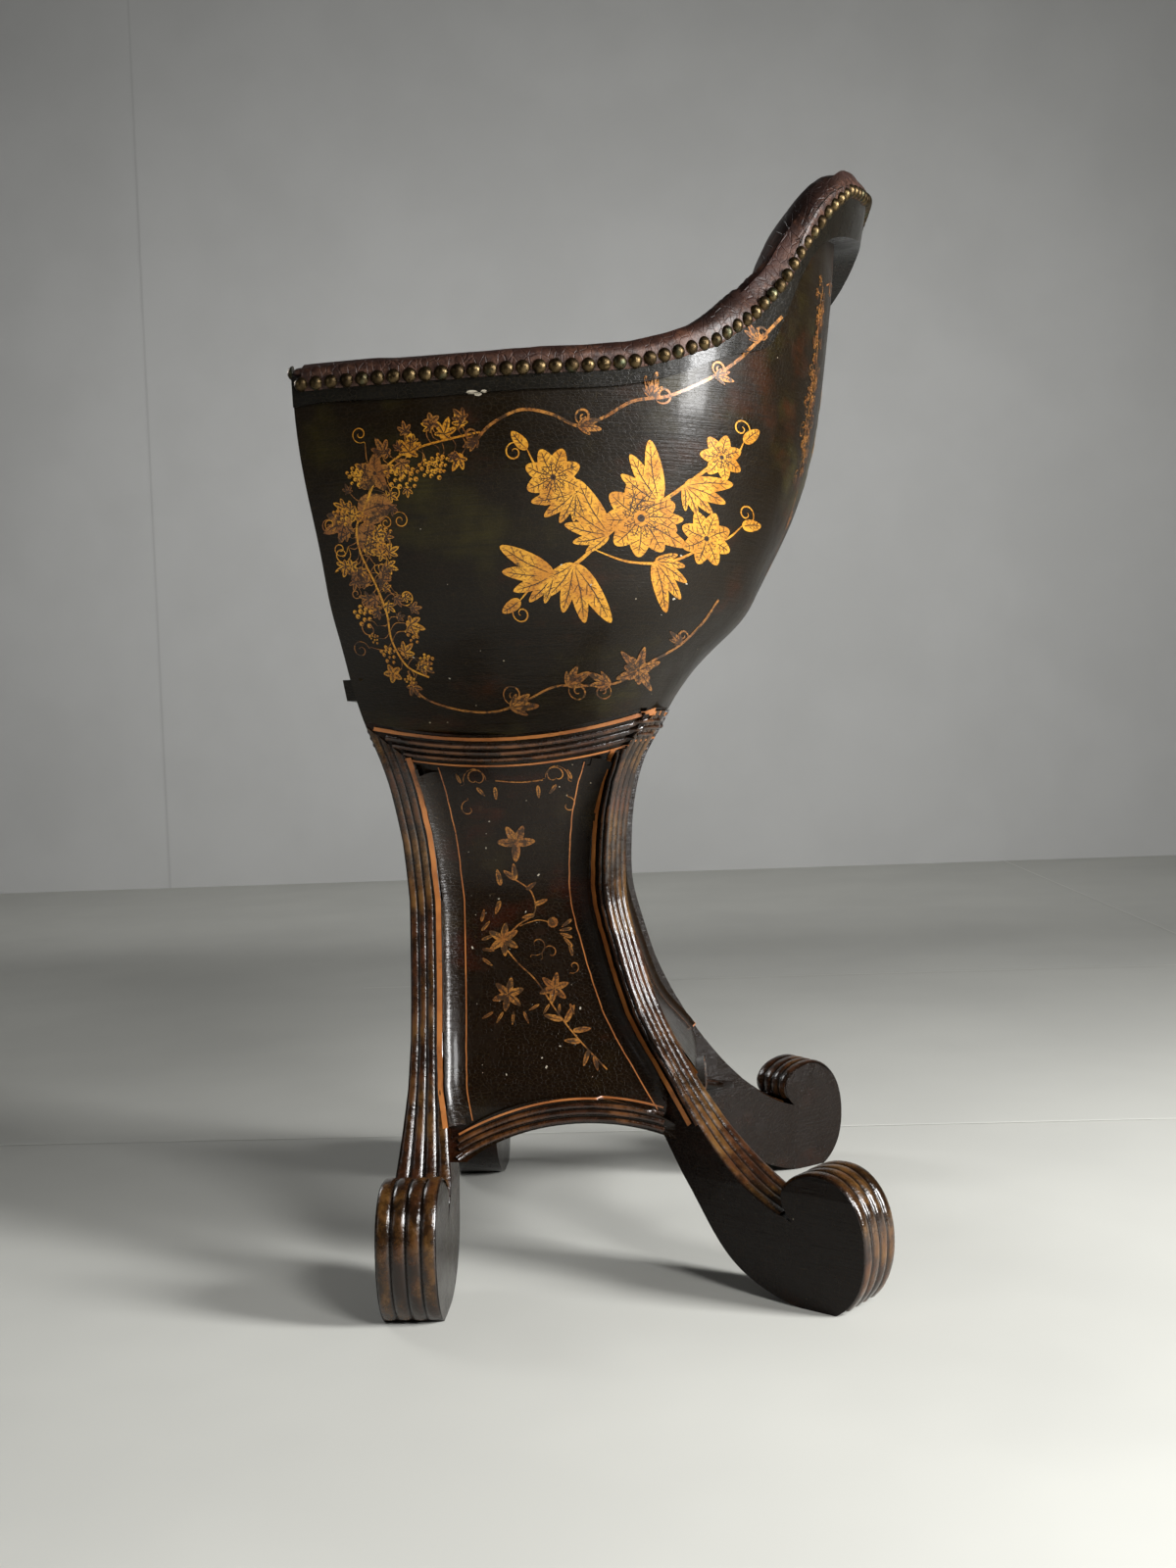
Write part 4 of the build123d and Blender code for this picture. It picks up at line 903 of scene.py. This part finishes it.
class Gilding:
    """Flat painted shapes on a canvas, in one mesh with gold, worn gold and shading lines.

    The shapes are many hundred and small, so their points are set one by one: an operator for each
    would take minutes in one mesh.
    """

    def __init__(self, canvas, seed):
        self.canvas, self.bm = canvas, bmesh.new()
        self.dice = random.Random(seed)
        self.level = 0

    def lift(self):
        """Each shape lies a hair over the last one, so that none share a plane."""
        self.level = (self.level + 1) % 40
        return PAINT_LIFT + self.level * 0.004

    def patch(self, middle, rim, material=0, lift=None):
        """A shape as rings from its middle to its rim."""
        lift = lift or self.lift()
        rings = []
        for share in (0.0, 0.5, 1.0):
            ring = []
            for u, v in ([middle] if share == 0 else rim):
                u, v = middle[0] + (u - middle[0]) * share, middle[1] + (v - middle[1]) * share
                spot = self.canvas.spot(u, v, lift)
                if not spot:
                    return
                ring.append(self.bm.verts.new(spot[0]))
            rings.append(ring)
        count = len(rim)
        for i in range(count):
            j = (i + 1) % count
            self.bm.faces.new((rings[0][0], rings[1][i], rings[1][j])).material_index = material
            self.bm.faces.new((rings[1][i], rings[2][i], rings[2][j], rings[1][j])).material_index = material

    def line(self, points, width, material=0, lift=None, taper=True, step=1.6):
        """A brush stroke that swells in its middle."""
        lift = lift or self.lift()
        path = rounded(points, step)
        last = None
        for i, (u, v) in enumerate(path):
            a, b = path[max(i - 1, 0)], path[min(i + 1, len(path) - 1)]
            run, rise = b[0] - a[0], b[1] - a[1]
            length = math.hypot(run, rise) or 1
            t = i / (len(path) - 1)
            half = width / 2 * (0.35 + 0.65 * math.sin(math.pi * t) if taper else 1)
            ends = [self.canvas.spot(u - sign * rise / length * half, v + sign * run / length * half, lift)
                    for sign in (1, -1)]
            if not all(ends):
                last = None
                continue
            pair = [self.bm.verts.new(each[0]) for each in ends]
            if last:
                self.bm.faces.new((*last, pair[1], pair[0])).material_index = material
            last = pair

    def turned(self, place, turn, points):
        """Points turned about their origin and moved to a place."""
        cos, sin = math.cos(turn), math.sin(turn)
        return [(place[0] + x * cos - y * sin, place[1] + x * sin + y * cos) for x, y in points]

    def vine_leaf(self, place, size, turn, material=0):
        """Five pointed lobes with a vein to each."""
        lobes = ((0, 1.0), (50, 0.86), (-50, 0.86), (105, 0.6), (-105, 0.6))
        rim = []
        for i in range(40):
            angle = i * 9 - 180
            r = 0.30
            for lean, reach in lobes:
                off = abs((angle - lean + 180) % 360 - 180) / 27
                r = max(r, reach * (1 - off ** 1.3 * 0.55) if off < 1 else 0.30)
            r *= 1 + 0.06 * math.cos(math.radians(angle * 9))
            rim.append((r * size * math.cos(math.radians(angle)), r * size * math.sin(math.radians(angle))))
        lift = self.lift()
        self.patch(place, self.turned(place, turn, rim), material, lift)
        for lean, reach in lobes:
            far = reach * size * 0.86
            tip = (far * math.cos(math.radians(lean)), far * math.sin(math.radians(lean)))
            bend = (tip[0] * 0.5 + tip[1] * 0.06, tip[1] * 0.5 - tip[0] * 0.06)
            self.line(self.turned(place, turn, [(0, 0), bend, tip]), 0.8, 2, lift + VEIN_LIFT)
            for back in (0.45, 0.7):
                for side in (-1, 1):
                    a = (tip[0] * back, tip[1] * back)
                    w = size * 0.13 * side / (reach * size)
                    b = (a[0] + tip[0] * 0.14 - tip[1] * w, a[1] + tip[1] * 0.14 + tip[0] * w)
                    self.line(self.turned(place, turn, [a, b]), 0.45, 2, lift + VEIN_LIFT)

    def petal(self, place, size, turn, wide=0.36, material=0):
        """A pointed petal or plain leaf that grows from place, with a midrib and side veins."""
        rim = []
        for i in range(20):
            t = i / 20 * 2 * math.pi
            x, y = (1 - math.cos(t)) / 2, math.sin(t) * wide / 2 * (1.25 - 0.5 * (1 - math.cos(t)) / 2)
            rim.append((x * size, y * size))
        lift = self.lift()
        middle = self.turned(place, turn, [(size * 0.5, 0)])[0]
        self.patch(middle, self.turned(place, turn, rim), material, lift)
        midrib = [(size * 0.1, 0), (size * 0.5, size * 0.03), (size * 0.9, 0)]
        self.line(self.turned(place, turn, midrib), 0.6, 2, lift + VEIN_LIFT)
        for x in (0.35, 0.55, 0.72):
            for side in (-1, 1):
                vein = [(size * x, 0), (size * (x + 0.12), side * size * wide * 0.3)]
                self.line(self.turned(place, turn, vein), 0.4, 2, lift + VEIN_LIFT)

    def flower(self, place, size, petals, turn, material=0):
        """Broad petals round a dark eye."""
        for i in range(petals):
            self.petal(place, size, turn + i * 2 * math.pi / petals, 0.62, material)
        self.dot(place, size * 0.2, material)
        self.dot(place, size * 0.1, 2)

    def dot(self, place, radius, material=0):
        """A round dab of ten sides, over the other shapes."""
        rim = [(place[0] + radius * math.cos(i * math.pi / 5), place[1] + radius * math.sin(i * math.pi / 5))
               for i in range(10)]
        self.patch(place, rim, material, DOT_LIFT[material == 2])

    def grapes(self, place, size, count, material):
        """A loose bunch of round berries, each with a dark side."""
        for i in range(count):
            turn, far = i * 2.4, size * 1.15 * math.sqrt(i + 0.3)
            spot = (place[0] + far * math.cos(turn) * 0.9, place[1] - abs(far) * 0.25 + far * math.sin(turn))
            self.dot(spot, size * self.dice.uniform(0.6, 0.85), material)
            self.dot((spot[0] + size * 0.3, spot[1] - size * 0.25), size * 0.3, 2)

    def curl(self, place, size, turn, way=1, width=1.0, material=0, turns=1.4):
        """A tendril that runs out and rolls up."""
        points = [(0, 0)]
        for i in range(22):
            t = i / 21
            angle = math.pi + way * t * turns * 2 * math.pi
            r = size * (1 - t * 0.82) * 0.5
            points.append((size * 0.62 + r * math.cos(angle), r * math.sin(angle)))
        self.line(self.turned(place, turn, points), width, material)

    def acanthus(self, place, size, turn, way):
        """A fan of petals that get shorter as they bend to one side."""
        for i in range(5):
            self.petal(place, size * (1 - 0.13 * i), turn + way * i * 0.42, 0.30)

    def piece(self, name, *materials):
        """Makes the painted shapes one piece of the scene."""
        settle(self.bm, self.canvas)
        made = as_piece(self.bm, name, *(materials or (bright_gold, worn_gold, shade)))
        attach(made, "root")


# Where the vine and the two long scrolls run on a side of the tub: (u, v), mm
GARLAND = [(-80, 612), (-99, 609), (-119, 605), (-136, 599), (-152, 586), (-160, 571), (-168, 557), (-168, 542),
           (-164, 530), (-159, 517), (-155, 501), (-155, 482), (-148, 465), (-134, 457)]
UPPER_SCROLL = [(-82, 608), (-72, 617), (-53, 625), (-34, 622), (-16, 614), (0, 619), (20, 630), (42, 634),
                (62, 643), (83, 656), (104, 675), (124, 697)]
LOWER_SCROLL = [(-148, 462), (-146, 450), (-138, 441), (-116, 433), (-92, 431), (-70, 437), (-46, 447),
                (-22, 447), (0, 449), (22, 462), (44, 474), (62, 490), (74, 506)]


def vine(gilt, path, reach, leaf, spacing, material=0):
    """Leaves, grapes and tendrils down both sides of a stem."""
    stem = rounded(path, 3)
    gilt.line(path, 1.3, material, taper=False)
    dice = gilt.dice
    for i in range(2, len(stem) - 2, max(1, int(spacing / 3))):
        a, b = stem[i - 2], stem[i + 2]
        along = math.atan2(b[1] - a[1], b[0] - a[0])
        for side in (-1, 1):
            far = reach * dice.uniform(0.2, 1.0)
            turn = along + side * math.radians(dice.uniform(40, 115))
            place = (stem[i][0] + far * math.cos(turn), stem[i][1] + far * math.sin(turn))
            tone = 1 if dice.random() < 0.38 else material
            bend = (stem[i][0] + far * 0.5 * math.cos(turn + 0.5),
                    stem[i][1] + far * 0.5 * math.sin(turn + 0.5))
            gilt.line([stem[i], bend, place], 0.6, 1)
            kind = dice.random()
            size = leaf * dice.uniform(0.65, 1.35)
            if kind < 0.46:
                gilt.vine_leaf(place, size, turn + dice.uniform(-0.9, 0.9), tone)
            elif kind < 0.66:
                gilt.grapes(place, size * 0.2, 11, material)
            elif kind < 0.78:
                gilt.flower(place, size * 0.75, 5, dice.uniform(0, 1), tone)
            else:
                gilt.curl(place, size * 1.3, turn, dice.choice((-1, 1)), 0.7, tone)


def scroll_run(gilt, path, width, marks):
    """A thin worn line with tendrils and small leaves at (share of its length, size, turn, way)."""
    gilt.line(path, width, 1, taper=False)
    steps = rounded(path, 3)
    for share, size, turn, way in marks:
        place = steps[int(share * (len(steps) - 1))]
        gilt.curl(place, size * 0.7, math.radians(turn), way, width * 0.8, 1)
        for spread, far in ((-0.6, 0.6), (-0.1, 0.95), (0.4, 0.8), (0.9, 0.5)):
            gilt.petal(place, size * far, math.radians(turn) + 1.1 * way + spread, 0.32, 1)


for side, sign in (("left", 1), ("right", -1)):
    gilt = Gilding(Canvas((-sign, 0, 0), TUB + RAILS), 7)
    vine(gilt, GARLAND, 21, 7.6, 6)
    vine(gilt, GARLAND[4:11], 14, 6.4, 7)
    gilt.vine_leaf((-176, 560), 16, math.radians(200), 1)
    gilt.petal((-166, 566), 24, math.radians(10), 0.8, 1)
    gilt.petal((-168, 556), 22, math.radians(-40), 0.8, 1)
    gilt.flower((-152, 590), 13, 5, 0.2, 1)
    gilt.vine_leaf((-128, 602), 12, math.radians(80))
    gilt.vine_leaf((-104, 612), 11, math.radians(70))
    scroll_run(gilt, UPPER_SCROLL, 2.0, ((0.0, 12, 150, 1), (0.30, 16, 60, -1), (0.52, 18, 20, 1),
                                         (0.72, 14, 60, -1), (0.9, 14, 70, 1)))
    scroll_run(gilt, LOWER_SCROLL, 1.5, ((0.33, 22, 70, -1), (0.50, 20, -30, 1), (0.62, 18, -140, -1),
                                         (0.85, 12, 80, 1)))
    gilt.flower((14, 457), 10, 7, 0.2, 1)
    for turn in (20, 70, 130, 200, 300):
        gilt.petal((14, 457), 17, math.radians(turn), 0.3, 1)

    # A loose bouquet of round flowers with long leaves and buds
    stem = [(-52, 512), (-22, 528), (8, 552), (44, 572), (86, 604)]
    gilt.line(stem, 2.2, taper=False)
    gilt.line([(-10, 536), (14, 528), (44, 530), (78, 548)], 1.8)
    gilt.line([(-4, 541), (-16, 566), (-36, 588)], 1.8)
    for place, size, turn, bend in (((-38, 520), 40, 150, 1), ((-24, 527), 44, -60, -1), ((0, 545), 40, 118, 1),
                                    ((14, 556), 42, -24, 1), ((34, 566), 40, 96, 1), ((52, 578), 34, 6, -1),
                                    ((30, 529), 34, -80, 1), ((-20, 572), 30, 190, 1)):
        gilt.acanthus(place, size, math.radians(turn), bend)
    for place, size, petals in (((22, 556), 25, 9), ((-34, 582), 19, 8), ((66, 545), 18, 8),
                                ((78, 598), 15, 7)):
        gilt.flower(place, size, petals, 0.4)
        gilt.flower(place, size * 0.55, petals, 0.1)
    for path in ([(-34, 582), (-44, 588), (-50, 600)], [(78, 598), (88, 600), (94, 610)],
                 [(66, 545), (80, 546), (92, 556)], [(-38, 520), (-50, 516), (-62, 505)]):
        gilt.line(path, 1.4)
    for place, turn in (((-50, 600), 130), ((94, 610), 40), ((92, 556), 10), ((-62, 505), 210)):
        gilt.petal(place, 15, math.radians(turn), 0.5)
        gilt.curl(place, 14, math.radians(turn + 60), 1, 1.0)
    gilt.piece(f"gilt_ornament_{side}")

    # Old chips down to the chalk ground: one long one under the rail, and specks
    chips = Gilding(Canvas((-sign, 0, 0), [f"panel_{side}", f"tub_side_{side}", f"arm_rail_{side}"]), 9)
    dice = chips.dice
    for u, v, length, height in ((-84, 637.5, 4.6, 1.1), (-80, 636.2, 3.0, 1.3), (-76, 637.6, 2.2, 0.9)):
        ragged = [(u + length * math.cos(i * 0.7) * dice.uniform(0.7, 1), v + height * math.sin(i * 0.7))
                  for i in range(9)]
        chips.patch((u, v), ragged)
    for _ in range(46):
        u, v = dice.uniform(-128, -30), dice.uniform(150, 372)
        if dice.random() < 0.2:
            u, v = dice.uniform(-150, 60), dice.uniform(450, 560)
        run = dice.uniform(0, 6.28)
        size = dice.choice((0.25, 0.3, 0.35, 0.6, 0.9))
        end = (u + 2.2 * size * math.cos(run), v + 2.2 * size * math.sin(run))
        chips.line([(u, v), end], size * 1.3, lift=0.3, taper=False, step=0.6)
    chips.piece(f"chips_{side}", chalk)

# The back repeats the sides' scrolls and vines, mirrored about its middle
gilt = Gilding(Canvas((0, -1, 0), TUB + ["crest_rail"]), 11)
for sign in (1, -1):
    vine(gilt, [(sign * 108, 738), (sign * 114, 712), (sign * 106, 684), (sign * 112, 656), (sign * 102, 626),
                (sign * 92, 604)], 12, 7.5, 8, 1)
    scroll_run(gilt, [(sign * 96, 742), (sign * 60, 752), (sign * 26, 746), (sign * 8, 752)], 1.2,
               ((0.3, 14, 250, sign), (0.8, 12, 250, -sign)))
    scroll_run(gilt, [(sign * 84, 592), (sign * 62, 560), (sign * 36, 536), (sign * 10, 528)], 1.2,
               ((0.3, 14, 90, sign), (0.8, 12, 90, -sign)))
for place, size, petals in (((0, 660), 22, 9), ((-26, 634), 14, 7), ((26, 634), 14, 7), ((0, 612), 12, 6)):
    gilt.flower(place, size, petals, 0.3)
for turn in (30, 150, 90, 210, 330):
    gilt.acanthus((30 * math.cos(math.radians(turn)), 650 + 24 * math.sin(math.radians(turn))), 24,
                  math.radians(turn), 1 if turn < 180 else -1)
gilt.piece("gilt_ornament_back")


def leaves(gilt, places, wide=0.34):
    """Leaves in worn gold at (u, v, size, turn in degrees)."""
    for u, v, size, turn in places:
        gilt.petal((u, v), size, math.radians(turn), wide, 1)


# A spray on each sunk panel, in worn gold, with scrolled corners. It is drawn about u -84, near the
# middle of a side's panel, and shifted by 84 mm on the front and back, whose panels are centred.
for way, (toward, board) in SIDES.items():
    gilt = Gilding(Canvas(toward, [f"panel_{board}"], 0 if way.startswith("side") else 84), 5)
    leaves(gilt, [(-88, 329, 15, turn) for turn in (65, 118, 175, 265, 5)], 0.44)
    gilt.line([(-90, 300), (-78, 290), (-76, 274), (-90, 264), (-100, 252), (-92, 238), (-76, 222), (-60, 198),
               (-44, 178), (-22, 156)], 1.1, 1, taper=False)
    leaves(gilt, [(-90, 300, 13, 95), (-90, 300, 12, 140), (-102, 296, 13, 100), (-82, 292, 10, 35),
                  (-76, 280, 11, 20), (-103, 284, 11, 250), (-76, 272, 10, 190)])
    gilt.line([(-88, 264), (-74, 268), (-64, 266)], 0.7, 1, taper=False)
    gilt.dot((-62, 266), 4.2, 1)
    leaves(gilt, [(-101, 254, 13, turn) for turn in (30, 80, 150, 215, 275, 330)], 0.42)
    for (u, v), size in (((-98, 212), 13), ((-62, 216), 12)):
        leaves(gilt, [(u, v, size, 18 + turn * 60) for turn in range(6)], 0.42)
        gilt.flower((u, v), size * 0.45, 6, 0.5, 1)
        leaves(gilt, [(u + 4 * k, v - size, size * 0.75, 250 + 14 * k) for k in (-3, -1, 1, 3)], 0.22)
    for u, v, size, turn, bend in ((-80, 240, 17, 60, 1), (-72, 238, 15, 30, -1), (-50, 226, 11, 60, 1)):
        gilt.curl((u, v), size, math.radians(turn), bend, 0.9, 1, 0.9)
    leaves(gilt, [(-56, 192, 15, 165), (-54, 190, 15, 60), (-48, 184, 14, 5), (-42, 176, 13, 175),
                  (-32, 166, 11, 285), (-36, 170, 12, 250)], 0.3)
    # Scrolled corners, joined by a line, and a small knot on each border
    for u, inward in ((-127, 1), (-42, -1)):
        for du, v, size, turn, bend in ((0, 376, 22, 90 - inward * 70, -inward),
                                        (22, 379, 18, 90 + inward * 80, inward), (4, 366, 14, 270, inward)):
            gilt.curl((u + inward * du, v), size, math.radians(turn), bend, 0.9, 1, 0.85)
        leaves(gilt, [(u + inward * 12, 374, 9, 270 + inward * 40), (u + inward * 26, 374, 10, 270),
                      (u, 378, 8, 110)], 0.3)
    gilt.line([(-100, 379), (-82, 377), (-64, 378)], 0.9, 1, taper=False)
    for u, turn in ((-118, 20), (-47, 160)):
        leaves(gilt, [(u, 254 + 7 * k, 10, turn + 28 * k) for k in (-2, -1, 0, 1, 2)], 0.26)
    gilt.piece(f"gilt_spray_{way}")


# ---- Floor, wall and light ----
# A pale matt floor that meets a grey wall, both of painted boards with filled joints. A large soft
# light stands at the right, with weaker ones at the left, in front, on the wall and behind.
WALL_X = -3.2
JOINT = 0.0044          # width of a filled joint, m
UPRIGHT = math.radians(90)


def board_paint(name, colour, rough):
    """Matt paint with a faint cloud of grey."""
    made, n, here = started(name)
    tone = n("TexNoise", Vector=here, Scale=per(1000 / 3), Detail=3, Roughness=0.55)
    share = n("MapRange", **SMOOTH, Value=tone, From_Min=0.3, From_Max=0.7, To_Max=0.12)
    colour = n("Mix", **COLOURS, Factor_Float=share, A_Color=colour, B_Color="8f8f8c")
    n("OutputMaterial", Surface=n("BsdfPrincipled", Base_Color=colour, Roughness=rough))
    return made


def stage_plane(name, middle, size, turn, material):
    """A flat board, level or turned up about the Y axis, with its middle and its size."""
    bm = bmesh.new()
    bmesh.ops.create_grid(bm, x_segments=1, y_segments=1, size=0.5)
    bmesh.ops.scale(bm, vec=(*size, 1), verts=bm.verts)
    bmesh.ops.rotate(bm, matrix=Matrix.Rotation(turn, 3, "Y"), verts=bm.verts)
    bmesh.ops.translate(bm, vec=middle, verts=bm.verts)
    as_piece(bm, name, material)


stage_plane("floor", (1.4, 0, 0), (9.2, 12), 0, board_paint("painted_floor", "cfcfc8", 0.62))
stage_plane("wall", (WALL_X, 0, 3), (6, 12), UPRIGHT, board_paint("painted_wall", "c2c2c0", 0.9))
for name, middle, size in (("joint_near", (-0.31, 0.2), (JOINT, 2.8)),
                           ("joint_far", (-1.28, 0.95), (JOINT, 2.9)),
                           ("joint_along", (-2.24, 0.93), (1.92, JOINT))):
    stage_plane(name, (*middle, 0.0004), size, 0, board_paint(name + "_filler", "e4e4dd", 0.6))
stage_plane("wall_joint", (WALL_X + 0.001, -1.46, 2), (4, 0.006), UPRIGHT,
            board_paint("wall_joint_filler", "b9b9b7", 0.9))


def area_light(name, place, target, size, power, spread=180):
    """A soft box at a place, turned to a target."""
    light = bpy.data.objects.new(name, bpy.data.lights.new(name, "AREA"))
    bpy.context.scene.collection.objects.link(light)
    light.data.shape = "RECTANGLE"
    light.data.size, light.data.size_y = size
    light.data.energy = power
    light.data.spread = math.radians(spread)
    light.location = place
    light.rotation_euler = (Vector(target) - Vector(place)).to_track_quat("-Z", "Y").to_euler()


area_light("light_right", (0.85, 1.85, 0.95), (0.15, 0, 0.35), (0.45, 0.85), 80)
area_light("light_left", (1.3, -1.7, 1.0), (0, 0, 0.4), (0.5, 1.0), 2)
area_light("light_front", (1.9, 1.3, 1.6), (1.1, 0.4, 0), (0.6, 0.6), 15, spread=110)
area_light("light_wall", (-1.5, -0.3, 1.3), (-3.2, -0.4, 1.05), (3.2, 0.6), 11, spread=150)
area_light("light_behind", (-0.9, -1.5, 1.3), (0, 0, 0.55), (0.6, 0.6), 1.4, spread=60)

world = bpy.data.worlds.new("room")
bpy.context.scene.world = world
world.use_nodes = True
world.node_tree.nodes["Background"].inputs["Color"].default_value = (0.62, 0.63, 0.64, 1)
world.node_tree.nodes["Background"].inputs["Strength"].default_value = 0.05
bpy.context.scene.view_settings.view_transform = "Standard"
